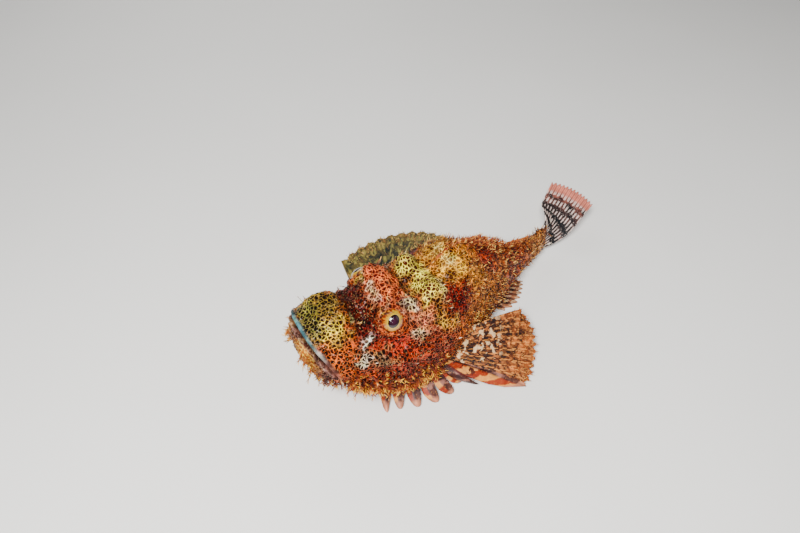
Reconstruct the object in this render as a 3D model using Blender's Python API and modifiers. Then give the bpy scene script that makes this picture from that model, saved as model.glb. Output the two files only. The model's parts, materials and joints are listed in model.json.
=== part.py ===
"""Papuan scorpionfish at rest on its belly, life size.

The fish faces -X, its left side is -Y and up is +Z. It is first laid out straight: "along" runs
back from the snout, "side" is out from the middle plane and "up" is above the line of the spine.
Every part is then carried onto the bent spine. Sizes in this file are millimetres.
"""

import math

import bmesh
import bpy
import numpy as np
from mathutils import Matrix, Vector

MM = 0.001

# Driving dimensions of the fish, in millimetres
STANDARD_LENGTH = 160.0
BODY_DEPTH = 60.0
HEAD_WIDTH = 56.0
CHIN_REACH = 3.5
CHIN_HEIGHT = 6.0
GAP = 0.3
FLOOR_BELOW_SPINE = 27.0

# Outline of the body: share of the length, then the back, the belly and the half width as shares
# of the depth and the head width, then the height of the widest line
OUTLINE = (
    (-0.025, 0.17, 0.02, 0.13, 0.08),
    (0.005, 0.22, -0.11, 0.22, 0.05),
    (0.055, 0.29, -0.25, 0.30, -0.02),
    (0.117, 0.32, -0.34, 0.36, -0.07),
    (0.190, 0.36, -0.40, 0.41, -0.09),
    (0.285, 0.43, -0.44, 0.445, -0.07),
    (0.390, 0.48, -0.455, 0.455, -0.03),
    (0.495, 0.55, -0.465, 0.405, -0.02),
    (0.600, 0.47, -0.43, 0.32, -0.02),
    (0.710, 0.33, -0.33, 0.215, 0.00),
    (0.820, 0.20, -0.21, 0.125, 0.00),
    (0.920, 0.145, -0.15, 0.075, 0.00),
    (1.000, 0.155, -0.155, 0.055, 0.00),
)
NOSE_ROUNDING = 7.0
UPPER_SQUARENESS = 2.1
LOWER_SQUARENESS = 2.5

# Swellings and hollows of the head and shoulder: centre (along, side, up), reach in the same
# three directions, and how far the skin is pushed back, out and up at the centre
RELIEF = {
    "snout_hump": ((11, 5, 16), (8, 8, 9), (-1.0, 0.5, 4.5)),
    "hollow_before_eye": ((23.5, 9, 19), (6, 10, 9), (1.5, -1.5, -5.5)),
    "forehead": ((37, 0, 25), (8.5, 13, 12), (-2.5, 0, 7.5)),
    "brow": ((33.5, 12.5, 24), (7.5, 6, 8), (-3.0, 1.8, 7.5)),
    "brow_behind_eye": ((45, 12, 25), (7, 5, 8), (0, 1.5, 1.5)),
    "pit_behind_brows": ((49.5, 0, 28), (5.5, 14, 10), (0, 0, -5.5)),
    "nape": ((57.5, 10, 28), (6, 6, 9), (0, 1.5, 4.5)),
    "saddle_behind_nape": ((65.5, 0, 30), (4.5, 14, 10), (0, 0, -2.0)),
    "shoulder": ((79, 0, 33), (11, 13, 12), (0, 0, 3.0)),
    "hollow_under_eye": ((35, 21, 8), (9, 8, 4), (0, -2.5, 0)),
    "cheek_ridge": ((38, 23, 2), (14, 8, 3.5), (0, 2.5, 0)),
    "upper_jaw_plate": ((16, 18, -4), (7, 8, 6), (0, 2.0, 0)),
    "lower_cheek": ((44, 24, -12), (11, 8, 8), (0, 1.5, 0)),
    "gill_cover": ((60, 26, 8), (9, 9, 9), (0, 1.5, 0)),
    "throat": ((38, 6, -26), (14, 12, 8), (0, 0, -1.5)),
}

# Bend of the spine: upward tilt of the tail end of each stretch, and turn to the right side
HEAD_TILT = math.radians(-17)
TRUNK_TILT = math.radians(-9)
TAIL_TILT = math.radians(-8)
HEAD_TURN = math.radians(-8)
TAIL_TURN = math.radians(13)
TAIL_TURN_LATE = 1.5
NECK_ALONG = 66.0
NECK_BLEND = 26.0
TAIL_BEND_START = 86.0

# Where the gill cover ends and the trunk begins, by angle round the body (90 is the back)
GILL_EDGE = ((-90, 44), (-60, 50), (-25, 61), (10, 67.5), (35, 67), (62, 64.5), (90, 63))
GILL_LIFT = 1.3
GILL_LIFT_REACH = 9.0
GILL_CAP_CENTRE = (60.0, 0.0, 2.0)
TAIL_STALK_START = 138.0

# Eyes
EYE_RADIUS = 6.4
EYE_PLACE = (35.5, 12.7, 17.2)
EYE_AIM = (-0.36, 0.74, 0.56)
LID_RING = 5.7
LID_THICKNESS = 1.7
LID_FORWARD = 2.9
LID_POINTS = 16

# Mouth: the gape runs from the front of the jaws down to its corner
GAPE_FRONT = (-2.0, 9.5)
GAPE_CORNER = (10.4, -4.6)
JAW_HINGE_SLOPE = (8.0, -13.0)
LIP_RADIUS = 1.4
LIP_SEAT = 1.6
NOSTRIL = (17.5, 62.0)
NOSTRIL_RADIUS = 1.7

# Counts of points round and along the bodies
AROUND = 36
HEAD_RINGS = 21
TRUNK_RINGS = 10
STALK_RINGS = 4

# Fins: count of rays, lengths of first, longest and last ray, thickness of ray and membrane
ROOT_DEPTH = 2.0
DORSAL_SPINES = 12
DORSAL_SPINE_BASE = (68.0, 112.0)
DORSAL_SPINE_LENGTHS = (9.0, 14.0, 7.5)
DORSAL_SPINE_RAKE = (24.0, 24.0)
DORSAL_RAYS = 9
DORSAL_RAY_BASE = (114.5, 136.0)
DORSAL_RAY_LENGTHS = (9.5, 12.5, 9.0)
DORSAL_RAY_RAKE = (20.0, 18.0)
ANAL_RAYS = 8
ANAL_BASE = (112.0, 130.0)
ANAL_LENGTHS = (9.0, 13.0, 10.0)
ANAL_SWEEP = (55.0, 16.0)
CAUDAL_RAYS = 13
CAUDAL_LENGTH = 48.0
CAUDAL_SPREAD = 14.0
CAUDAL_ROLL = math.radians(82)
CAUDAL_CURL = 1.0
CAUDAL_RISE = 12.0
PECTORAL_RAYS = 18
PECTORAL_THICK_RAYS = 6
PECTORAL_BASE = ((73.0, 4.0), (62.0, -54.0))
PECTORAL_FAN_SWEEP = {1: (4.0, 50.0), -1: (10.0, 96.0)}
PECTORAL_TIP_HEIGHTS = {1: (17.0, 0.5), -1: (29.0, 16.0)}
PECTORAL_FAN_LENGTHS = {1: (38.0, 43.0, 41.0), -1: (35.0, 40.0, 39.0)}
PECTORAL_THICK_SWEEP = {1: (66.0, 162.0), -1: (112.0, 164.0)}
PECTORAL_THICK_LENGTHS = (11.0, 30.0)
PECTORAL_THICK_CURL = 0.42
THICK_TIP_ROUNDING = 0.9
THICK_RAY_THICKNESS = 2.8
THICK_TIP_HEIGHT = 1.1
PELVIC_RAYS = 6
PELVIC_LENGTH = 34.0
RAY_THICKNESS = 1.7
MEMBRANE_THICKNESS = 0.65
THINNEST = 0.55
FIN_CLEARANCE = 0.5
STALK_FACE_HALF = 8.3

# Spines of the head on the left side: along, angle round the body, length. The right has the same
SPINE_RADIUS = 0.95
HEAD_SPINES = (
    (29, 58, 3.2), (33, 57, 3.0), (42, 60, 3.4), (46.5, 55, 3.2), (54, 66, 3.6), (59.5, 64, 4.0), (62, 42, 3.4),
    (25, 14, 2.6), (31, 10, 2.8), (37, 7, 3.2), (43.5, 5, 3.8),
    (51, -8, 4.6), (51.5, -20, 3.6), (49.5, -30, 3.0), (63, 27, 4.0), (64, 9, 4.0),
)
CHEEK_SPINES = ((9, -12, 3.0), (14, -14, 3.2))

# Skin flaps on the left side: along, angle round the body, length, width, turn to the rear in degrees
HEAD_FLAPS = (
    (18.5, 62, 4.0, 2.4, 20), (28, 52, 4.0, 2.0, -60), (30.5, 68, 3.8, 1.8, -50), (33, 45, 3.4, 1.8, -30),
    (40, 66, 4.2, 1.8, 40), (56.5, 60, 4.2, 1.8, 40), (60, 50, 4.0, 1.8, 50), (5, 50, 3.6, 1.8, -20),
    (9, 28, 3.6, 1.8, 0), (20, -4, 4.6, 2.4, 0), (27, -2, 6.6, 4.0, 10), (12, -2, 4.0, 2.2, -10),
    (50, 20, 3.8, 1.8, 50), (57, -2, 4.2, 2.0, 50),
)
FRINGE_FLAPS = 7
FRINGE_LINE = ((20.0, -30.0), (46.0, -36.0))
FRINGE_LENGTHS = (6.2, 7.4)
JAW_FLAPS = 4
JAW_FRINGE_LINE = ((-1.0, -40.0), (12.0, -62.0))
JAW_FRINGE_LENGTHS = (5.2, 6.6)
TRUNK_FLAP_ROWS = ((14, 76, 129, 6, 4.6), (44, 74, 126, 6, 4.2), (-18, 84, 126, 4, 4.2))
STALK_FLAP_ROWS = ((30, 140, 149, 3, 3.4), (-25, 141, 149, 2, 3.2))


def clear_scene():
    for old in list(bpy.data.objects):
        bpy.data.objects.remove(old)


def smooth_line(x, xs, ys):
    """A curve through the points (xs, ys) with even slopes, read at x."""
    xs, ys = np.asarray(xs, float), np.asarray(ys, float)
    slope = np.gradient(ys, xs)
    x = np.clip(x, xs[0], xs[-1])
    i = np.clip(np.searchsorted(xs, x) - 1, 0, len(xs) - 2)
    step = xs[i + 1] - xs[i]
    t = (x - xs[i]) / step
    a = (1 + 2 * t) * (1 - t) ** 2
    b = t * (1 - t) ** 2
    c = t * t * (3 - 2 * t)
    d = t * t * (t - 1)
    return a * ys[i] + b * step * slope[i] + c * ys[i + 1] + d * step * slope[i + 1]


def smooth_step(x):
    x = np.clip(x, 0, 1)
    return x * x * (3 - 2 * x)


def unit(v):
    v = np.asarray(v, float)
    return v / np.maximum(np.linalg.norm(v, axis=-1, keepdims=True), 1e-9)


def outline_at(along):
    """Back height, belly height, half width and height of the widest line."""
    share = along / STANDARD_LENGTH
    rows = np.array(OUTLINE)
    back = smooth_line(share, rows[:, 0], rows[:, 1]) * BODY_DEPTH
    belly = smooth_line(share, rows[:, 0], rows[:, 2]) * BODY_DEPTH
    half = smooth_line(share, rows[:, 0], rows[:, 3]) * HEAD_WIDTH
    widest = smooth_line(share, rows[:, 0], rows[:, 4]) * BODY_DEPTH
    from_tip = np.clip((along + CHIN_REACH) / NOSE_ROUNDING, 0, 1)
    fullness = np.sqrt(1 - (1 - from_tip) ** 2)
    back = CHIN_HEIGHT + (back - CHIN_HEIGHT) * fullness
    belly = CHIN_HEIGHT + (belly - CHIN_HEIGHT) * fullness
    widest = CHIN_HEIGHT + (widest - CHIN_HEIGHT) * fullness
    return back, belly, half * fullness, widest


def relief(points):
    """Pushes points of the plain body into the swellings and hollows, alike on both sides."""
    side = np.where(points[..., 1] < 0, -1.0, 1.0)
    mirrored = points.copy()
    mirrored[..., 1] = np.abs(points[..., 1])
    moved = mirrored.copy()
    for centre, reach, push in RELIEF.values():
        far = ((mirrored - np.array(centre)) / np.array(reach)) ** 2
        moved = moved + np.exp(-far.sum(-1))[..., None] * np.array(push)
    moved[..., 1] *= side
    return moved


def gill_edge_at(turn):
    """How far along the gill cover reaches, at an angle round the body."""
    degrees = np.degrees(np.arcsin(np.sin(turn)))
    edge = np.array(GILL_EDGE)
    return smooth_line(degrees, edge[:, 0], edge[:, 1])


def body_straight(along, turn, lift=0.0):
    """A point of the straight body's skin. turn is 0 on the left flank and 90 degrees on the back."""
    along, turn = np.broadcast_arrays(np.asarray(along, float), np.asarray(turn, float))
    back, belly, half, widest = outline_at(along)
    across, rise = np.cos(turn), np.sin(turn)
    square = np.where(rise > 0, UPPER_SQUARENESS, LOWER_SQUARENESS)
    height = np.where(rise > 0, back - widest, widest - belly) + lift
    side = (half + lift) * np.sign(across) * np.abs(across) ** (2 / square)
    up = widest + height * np.sign(rise) * np.abs(rise) ** (2 / square)
    return relief(np.stack([along, side, up], -1))


def spine_table():
    """The bent spine every half millimetre: place, and the directions back, left and up."""
    step = 0.5
    along = np.arange(-60.0, 260.0, step)
    neck = smooth_step((NECK_ALONG - along) / NECK_BLEND)
    rear = np.clip((along - TAIL_BEND_START) / (STANDARD_LENGTH - TAIL_BEND_START), 0, 1.2)
    tilt = TRUNK_TILT + (HEAD_TILT - TRUNK_TILT) * neck + (TAIL_TILT - TRUNK_TILT) * rear
    turn = HEAD_TURN * neck + TAIL_TURN * rear**TAIL_TURN_LATE
    back = np.stack([np.cos(tilt) * np.cos(turn), np.cos(tilt) * np.sin(turn), np.sin(tilt)], -1)
    place = np.cumsum(back, 0) * step
    place -= np.array([np.interp(NECK_ALONG, along, place[:, k]) for k in range(3)])
    left = unit(np.cross(back, (0, 0, 1)))
    up = np.cross(left, back)
    return along, place, back, left, up


SPINE = spine_table()


def bend(points):
    """Carries straight points onto the bent spine, with the floor at height 0."""
    along, place, _, left, up = SPINE
    at = [np.stack([np.interp(points[..., 0], along, v[:, k]) for k in range(3)], -1)
          for v in (place, left, up)]
    bent = at[0] + unit(at[1]) * points[..., 1:2] + unit(at[2]) * points[..., 2:3]
    bent[..., 2] += FLOOR_BELOW_SPINE
    return bent


def body_skin(along, turn, lift=0.0):
    return bend(body_straight(along, turn, lift))


def new_object(name, points, faces, collection):
    mesh = bpy.data.meshes.new(name)
    mesh.from_pydata([tuple(p) for p in np.asarray(points, float) * MM], [], faces)
    mesh.validate()
    obj = bpy.data.objects.new(name, mesh)
    collection.objects.link(obj)
    return obj


def turn_faces_out(obj):
    bm = bmesh.new()
    bm.from_mesh(obj.data)
    bmesh.ops.recalc_face_normals(bm, faces=bm.faces)
    if bm.calc_volume(signed=True) < 0:
        bmesh.ops.reverse_faces(bm, faces=bm.faces)
    bm.to_mesh(obj.data)
    bm.free()


def loft(name, rings, front, rear, collection):
    """A closed body through rings of equal count, closed to a point at each end."""
    count, around = rings.shape[:2]
    points = np.concatenate([rings.reshape(-1, 3), [front], [rear]])
    faces = []
    for i in range(count - 1):
        for j in range(around):
            k = (j + 1) % around
            faces.append((i * around + j, i * around + k, (i + 1) * around + k, (i + 1) * around + j))
    first, last = count * around, count * around + 1
    for j in range(around):
        k = (j + 1) % around
        faces.append((first, k, j))
        faces.append((last, (count - 1) * around + j, (count - 1) * around + k))
    obj = new_object(name, points, faces, collection)
    turn_faces_out(obj)
    return obj


def boolean(obj, operation, other=None, collection=None):
    """Applies one Boolean and leaves the result in obj. The exact solver loses these thin fins and flaps."""
    modifier = obj.modifiers.new(operation.lower(), "BOOLEAN")
    modifier.operation = operation
    modifier.solver = "MANIFOLD"
    if collection:
        modifier.operand_type = "COLLECTION"
        modifier.collection = collection
    else:
        modifier.object = other
    bpy.context.view_layer.update()
    graph = bpy.context.evaluated_depsgraph_get()
    made = bpy.data.meshes.new_from_object(obj.evaluated_get(graph))
    obj.modifiers.clear()
    obj.data = made


def keep_largest(obj):
    """Keeps only the largest closed surface of a node."""
    bm = bmesh.new()
    bm.from_mesh(obj.data)
    bm.verts.ensure_lookup_table()
    seen, groups = set(), []
    for start in bm.verts:
        if start.index in seen:
            continue
        group, queue = [], [start]
        seen.add(start.index)
        while queue:
            vert = queue.pop()
            group.append(vert)
            for edge in vert.link_edges:
                other = edge.other_vert(vert)
                if other.index not in seen:
                    seen.add(other.index)
                    queue.append(other)
        groups.append(group)
    groups.sort(key=len)
    for group in groups[:-1]:
        bmesh.ops.delete(bm, geom=group, context="VERTS")
    bm.to_mesh(obj.data)
    bm.free()


def drop_to_floor(points):
    points[..., 2] = np.maximum(points[..., 2], 0)
    return points


def turn_z_to(direction):
    return Vector((0, 0, 1)).rotation_difference(Vector(direction)).to_matrix()


def local_direction(along, direction, side=1):
    """Turns a direction of the straight fish (back, left, up) into the bent one."""
    start = np.array([along, 0.0, 0.0])
    step = np.array(direction, float) * np.array([1, side, 1]) * 0.5
    return unit(bend(start + step) - bend(start))


def eye_centre(side):
    return bend(np.array(EYE_PLACE) * np.array([1, side, 1]))


def make_ball(name, centre, radius, aim, collection, segments=18, rings=10):
    bm = bmesh.new()
    bmesh.ops.create_uvsphere(bm, u_segments=segments, v_segments=rings, radius=radius * MM)
    mesh = bpy.data.meshes.new(name)
    bm.to_mesh(mesh)
    bm.free()
    mesh.transform(turn_z_to(aim).to_4x4())
    mesh.transform(Matrix.Translation(Vector(np.array(centre) * MM)))
    obj = bpy.data.objects.new(name, mesh)
    collection.objects.link(obj)
    return obj


def around(count):
    return np.linspace(0, 2 * math.pi, count, endpoint=False)


def tube(name, path, radii, sides, collection):
    """A closed round tube through the points of a path, pointed at both ends."""
    path = np.asarray(path, float)
    heading = unit(np.gradient(path, axis=0))
    across = unit(np.cross(heading, (0.13, 0.21, 0.97)))
    rise = np.cross(across, heading)
    turns = around(sides)
    rings = [path[i] + radii[i] * (np.cos(turns)[:, None] * across[i] + np.sin(turns)[:, None] * rise[i])
             for i in range(len(path))]
    front = path[0] - heading[0] * radii[0]
    rear = path[-1] + heading[-1] * radii[-1]
    return loft(name, np.array(rings), front, rear, collection)


def head_rings(lift=0.0):
    turns = around(AROUND)
    edge = gill_edge_at(turns) + lift
    start = -CHIN_REACH + 0.3
    rings = []
    for share in np.linspace(0, 1, HEAD_RINGS) ** 1.25:
        along = start + (edge - start) * share
        flare = smooth_step((along - edge + GILL_LIFT_REACH) / GILL_LIFT_REACH)
        rings.append(body_skin(along, turns, lift + GILL_LIFT * flare * np.abs(np.cos(turns))))
    return np.array(rings)


def trunk_rings(lift=0.0):
    turns = around(AROUND)
    front = gill_edge_at(turns) + GAP - lift
    shares = np.linspace(0, 1, TRUNK_RINGS)
    return np.array([body_skin(front + (TAIL_STALK_START - front) * share, turns, lift) for share in shares])


def stalk_rings(lift=0.0):
    turns = around(AROUND // 2)
    alongs = np.linspace(TAIL_STALK_START + GAP, STANDARD_LENGTH, STALK_RINGS)
    return np.array([body_skin(along, turns, lift) for along in alongs])


def on_spine(along, up=0.0):
    return bend(np.array([along, 0.0, up]))


def make_head_blank(name, collection, lift=0.0):
    front = on_spine(-CHIN_REACH - lift, CHIN_HEIGHT)
    rear = bend(np.array(GILL_CAP_CENTRE) + np.array([lift, 0, 0]))
    return loft(name, head_rings(lift), front, rear, collection)


def make_trunk_blank(name, collection, lift=0.0):
    front = bend(np.array(GILL_CAP_CENTRE) + np.array([GAP - lift, 0, 0]))
    rear = on_spine(TAIL_STALK_START + lift)
    rings = trunk_rings(lift)
    if lift == 0:
        rings = drop_to_floor(rings)
    return loft(name, rings, front, rear, collection)


def gape_height(along):
    run = (along - GAPE_FRONT[0]) / (GAPE_CORNER[0] - GAPE_FRONT[0])
    return GAPE_FRONT[1] + run * (GAPE_CORNER[1] - GAPE_FRONT[1])


def gape_side(along):
    """How far out the skin lies where the line of the mouth crosses it."""
    turns = np.radians(np.linspace(-89, 89, 357))
    skin = body_straight(along, turns)
    return float(np.interp(gape_height(along), skin[:, 2], skin[:, 1]))


def gape_normal():
    run = GAPE_CORNER[0] - GAPE_FRONT[0]
    drop = GAPE_CORNER[1] - GAPE_FRONT[1]
    return unit(np.array([-drop, 0, run]))


def lip_path(away):
    """The line of the mouth from corner to corner, moved off the gape by away."""
    alongs = GAPE_FRONT[0] + 0.6 + (GAPE_CORNER[0] + 1.0 - GAPE_FRONT[0]) * np.linspace(1, 0, 11) ** 1.6
    left = [np.array([a, gape_side(a), gape_height(a)]) for a in alongs]
    right = [p * np.array([1, -1, 1]) for p in left[::-1]]
    return bend(np.array(left + right) + gape_normal() * away)


def jaw_wedge(name, inset, collection):
    """The wedge in front of the hinge and below the gape that the lower jaw fills."""
    gape = unit(np.subtract(GAPE_CORNER, GAPE_FRONT))
    hinge = unit(np.array(JAW_HINGE_SLOPE))
    inward = unit(hinge - gape)
    opening = math.acos(float(np.dot(-gape, hinge)))
    corner = np.array(GAPE_CORNER) + inward * inset / math.sin(opening / 2)
    outline = [corner, corner + hinge * 30, corner + hinge * 30 - np.array([60, 0]), corner - gape * 60]
    rings = [[bend_rigid(np.array([p[0], side, p[1]])) for p in outline] for side in (-45, 45)]
    middle = [np.mean(ring, axis=0) for ring in rings]
    return loft(name, np.array(rings), middle[0], middle[1], collection)


def bend_rigid(point):
    """Carries a point with the front of the head, however far out it lies."""
    origin = np.array([0.0, 0.0, 0.0])
    axes = [bend(origin + step) - bend(origin) for step in np.eye(3)]
    return bend(origin) + sum(unit(axis) * value for axis, value in zip(axes, point))


def make_lids(collection):
    rings = []
    for side in (1, -1):
        aim = local_direction(EYE_PLACE[0], EYE_AIM, side)
        centre = eye_centre(side) + aim * LID_FORWARD
        across = unit(np.cross(aim, (0, 0, 1)))
        rise = np.cross(across, aim)
        turns = around(LID_POINTS)
        hoop = []
        for turn in around(5):
            radius = LID_RING + LID_THICKNESS * math.cos(turn)
            depth = LID_THICKNESS * math.sin(turn)
            hoop.append([centre + aim * depth + radius * (math.cos(t) * across + math.sin(t) * rise)
                         for t in turns])
        rings.append(closed_hoop(f"lid{side}", np.array(hoop), collection))
    return rings


def closed_hoop(name, rings, collection):
    """A ring-shaped body: loops joined to loops, the last one to the first."""
    count, around_ = rings.shape[:2]
    faces = []
    for i in range(count):
        for j in range(around_):
            k = (j + 1) % around_
            m = (i + 1) % count
            faces.append((i * around_ + j, i * around_ + k, m * around_ + k, m * around_ + j))
    obj = new_object(name, rings.reshape(-1, 3), faces, collection)
    turn_faces_out(obj)
    return obj


def remove_objects(objects):
    for obj in objects:
        bpy.data.objects.remove(obj)


def join_pieces(obj, pieces, holder):
    """Fuses closed pieces into a node."""
    boolean(obj, "UNION", collection=holder)
    remove_objects(pieces)
    keep_largest(obj)


def make_thorn(name, along, turn, length, side, collection, heading=(0.82, 0.30, 0.35)):
    """A short spine that points to the rear, its root sunk in the skin."""
    mirror = np.array([1, side, 1])
    root = bend(body_straight(along, turn, -1.2) * mirror)
    normal = unit(bend(body_straight(along, turn, 1.0) * mirror) - root)
    way = unit(local_direction(along, heading, side) + 0.45 * normal)
    across = unit(np.cross(way, normal + np.array([0.05, 0.03, 0.3])))
    rise = np.cross(across, way)
    rings = []
    for reach, radius in ((0.0, SPINE_RADIUS), (0.5 * length + 1.0, 0.7 * SPINE_RADIUS)):
        rings.append([root + way * reach + radius * (math.cos(t) * across + math.sin(t) * rise) for t in around(4)])
    return loft(name, np.array(rings), root - way * 0.3, root + way * (length + 1.2), collection)


def make_flap(name, along, turn, length, width, back_turn, side, collection, droop=0.5):
    """A flat, tapered skin flap, bent over at its tip, its root sunk in the skin."""
    mirror = np.array([1, side, 1])
    root = bend(body_straight(along, turn, -1.0) * mirror)
    normal = unit(bend(body_straight(along, turn, 1.0) * mirror) - root)
    rear = local_direction(along, (1, 0, 0), side)
    lean = math.radians(back_turn)
    way = unit(normal * math.cos(lean) + rear * math.sin(lean))
    across = unit(np.cross(way, normal + 0.2 * rear + np.array([0, 0, 0.31])))
    thick = np.cross(across, way)
    rings = []
    for share, wide, deep in ((0.0, 0.8, 0.6), (0.62, 0.95, 0.42)):
        place = root + way * ((length + 1.0) * share) + np.array([0, 0, -droop * length * 0.5 * share * share])
        half = across * width * 0.5 * wide
        depth = thick * deep
        rings.append([place + half, place + depth, place - half, place - depth])
    tip = root + way * (length + 1.0) + np.array([0, 0, -droop * length * 0.5])
    return loft(name, np.array(rings), root - way * 0.3, tip, collection)


def make_fringe(prefix, count, line, lengths, width, side, collection):
    """A row of paired flaps that hang from the lower edge of the head."""
    flaps = []
    for number in range(count):
        run = number / (count - 1)
        along = line[0][0] + (line[1][0] - line[0][0]) * run
        turn = math.radians(line[0][1] + (line[1][1] - line[0][1]) * run)
        long_ = lengths[number % 2]
        for twin, lean in ((0, -22), (1, 26)):
            name = f"{prefix}_{number}_{twin}"
            flaps.append(make_flap(name, along + 0.5 * twin, turn, long_, width, lean, side, collection, 0.9))
    return flaps


def make_flap_rows(rows, collection):
    """Rows of flaps along both flanks, all leaning to the rear."""
    flaps = []
    for row, (turn, start, end, count, length) in enumerate(rows):
        for number, along in enumerate(np.linspace(start, end, count)):
            for side in (1, -1):
                tilt = turn + 6 * math.sin(2.1 * number + row)
                name = f"flap_{row}_{number}_{side}"
                flaps.append(make_flap(name, along, math.radians(tilt), length, 2.0, 52, side, collection))
    return flaps


def make_head(collection, holder, cutters):
    head = make_head_blank("head", collection)
    pieces = make_lids(holder)
    pieces.append(tube("upper_lip", lip_path(LIP_SEAT), [LIP_RADIUS] * 22, 6, holder))
    for side in (1, -1):
        for number, (along, degrees, length) in enumerate(HEAD_SPINES):
            pieces.append(make_thorn(f"thorn_{number}_{side}", along, math.radians(degrees), length, side, holder))
        for number, (along, degrees, length) in enumerate(CHEEK_SPINES):
            pieces.append(make_thorn(f"cheek_thorn_{number}_{side}", along, math.radians(degrees), length, side,
                                     holder, (0.2, 0.3, -0.9)))
        for number, (along, degrees, length, width, back) in enumerate(HEAD_FLAPS):
            pieces.append(make_flap(f"flap_{number}_{side}", along, math.radians(degrees), length, width, back,
                                    side, holder))
        pieces += make_fringe("fringe", FRINGE_FLAPS, FRINGE_LINE, FRINGE_LENGTHS, 3.4, side, holder)
    join_pieces(head, pieces, holder)
    wedge = jaw_wedge("jaw_space", 0.0, cutters)
    boolean(head, "DIFFERENCE", wedge)
    sockets = [make_ball(f"socket{side}", eye_centre(side), EYE_RADIUS + GAP,
                         local_direction(EYE_PLACE[0], EYE_AIM, side), cutters) for side in (1, -1)]
    sockets += [make_nostril(side, cutters) for side in (1, -1)]
    for socket in sockets:
        boolean(head, "DIFFERENCE", socket)
    remove_objects(sockets + [wedge])
    keep_largest(head)
    return head


def make_nostril(side, collection):
    along, degrees = NOSTRIL
    place = bend(body_straight(along, math.radians(degrees)) * np.array([1, side, 1]))
    return make_ball(f"nostril{side}", place, NOSTRIL_RADIUS, (0, 0, 1), collection, 10, 6)


def make_lower_jaw(collection, holder, cutters):
    jaw = make_head_blank("lower_jaw", collection)
    radii = [LIP_RADIUS * (0.9 + 0.22 * math.sin(2.3 * i)) for i in range(22)]
    pieces = [tube("lower_lip", lip_path(-LIP_SEAT), radii, 6, holder)]
    for side in (1, -1):
        pieces += make_fringe("chin", JAW_FLAPS, JAW_FRINGE_LINE, JAW_FRINGE_LENGTHS, 3.2, side, holder)
    join_pieces(jaw, pieces, holder)
    wedge = jaw_wedge("jaw_form", GAP, cutters)
    boolean(jaw, "INTERSECT", wedge)
    remove_objects([wedge])
    keep_largest(jaw)
    return jaw


def make_eyes(collection):
    eyes = []
    for name, side in (("eye_left", 1), ("eye_right", -1)):
        aim = local_direction(EYE_PLACE[0], EYE_AIM, side)
        eyes.append(make_ball(name, eye_centre(side), EYE_RADIUS, aim, collection))
    return eyes


def make_trunk(collection, holder):
    trunk = make_trunk_blank("trunk", collection)
    join_pieces(trunk, make_flap_rows(TRUNK_FLAP_ROWS, holder), holder)
    return trunk


def make_tail_stalk(collection, holder):
    front = on_spine(TAIL_STALK_START + GAP)
    stalk = loft("tail_stalk", stalk_rings(), front, on_spine(STANDARD_LENGTH), collection)
    join_pieces(stalk, make_flap_rows(STALK_FLAP_ROWS, holder), holder)
    return stalk


def fin_columns(rays, thick_rays=0):
    """Ray positions across a fin: on each ray, beside the thick ones, and between rays."""
    columns = []
    for ray in range(rays):
        beside = 0.24 if ray >= rays - thick_rays else 0
        if beside and ray:
            columns.append((ray - beside, "edge"))
        columns.append((float(ray), "ray"))
        if beside and ray < rays - 1:
            columns.append((ray + beside, "edge"))
        if ray < rays - 1:
            columns.append((ray + 0.5, "web"))
    return columns


def make_fin(name, path, columns, rows, notch, collection, sizes=None):
    """A fin from path(ray position, share of the length), thick on its rays, thin between them."""
    sizes = sizes or [RAY_THICKNESS] * len(columns)
    points, thickness = [], []
    for share in np.linspace(0, 1, rows):
        taper = 1 - 0.62 * share
        for (position, kind), ray in zip(columns, sizes):
            reach = {"ray": 1.0, "edge": THICK_TIP_ROUNDING, "web": notch(position)}[kind]
            points.append(path(position, share * reach))
            size = {"ray": ray * taper, "edge": 0.75 * ray * taper, "web": MEMBRANE_THICKNESS}[kind]
            thickness.append(max(size, THINNEST))
    across = len(columns)
    faces = []
    for i in range(rows - 1):
        for j in range(across - 1):
            a = i * across + j
            b, c, d = a + 1, a + across + 1, a + across
            faces += [(a, b, c), (a, c, d)] if (i + j) % 2 else [(a, b, d), (b, c, d)]
    fin = new_object(name, np.array(points), faces, collection)
    group = fin.vertex_groups.new(name="thickness")
    thickest = max(thickness)
    for index, size in enumerate(thickness):
        group.add([index], size / thickest, "REPLACE")
    solid = fin.modifiers.new("thickness", "SOLIDIFY")
    solid.thickness = thickest * MM
    solid.offset = 0.0
    solid.vertex_group = group.name
    solid.use_rim = True
    apply_modifiers(fin)
    for vert in fin.data.vertices:
        vert.co.z = max(vert.co.z, 0)
    turn_faces_out(fin)
    return fin


def apply_modifiers(obj):
    bpy.context.view_layer.update()
    graph = bpy.context.evaluated_depsgraph_get()
    made = bpy.data.meshes.new_from_object(obj.evaluated_get(graph))
    obj.modifiers.clear()
    obj.data = made


def between(ends, share):
    return ends[0] + (ends[1] - ends[0]) * share


def bump(share, first, longest, last, peak=0.35):
    """A length that grows from first to longest at the peak and falls to last."""
    if share < peak:
        return first + (longest - first) * math.sin(0.5 * math.pi * share / peak)
    fall = (share - peak) / (1 - peak)
    return last + (longest - last) * math.cos(0.5 * math.pi * fall)


def make_dorsal(name, rays, base, lengths, rake, web_reach, collection):
    """A fin folded low along the middle of the back."""
    def path(position, share):
        run = position / (rays - 1)
        along = base[0] + (base[1] - base[0]) * run
        length = bump(run, *lengths)
        slope = math.radians(between(rake, run)) + back_slope(along)
        root = body_straight(along, math.radians(90))
        reach = (length + ROOT_DEPTH) * share - ROOT_DEPTH
        return bend(root + np.array([reach * math.cos(slope), 0, reach * math.sin(slope)]))

    return make_fin(name, path, fin_columns(rays), 6, lambda p: web_reach, collection)


def back_slope(along):
    """The slope of the back's outline, smoothed over the reach of a fin ray."""
    ends = body_straight(np.array([along, along + 18.0]), math.radians(90))
    return math.atan2(ends[1, 2] - ends[0, 2], ends[1, 0] - ends[0, 0])


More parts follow.
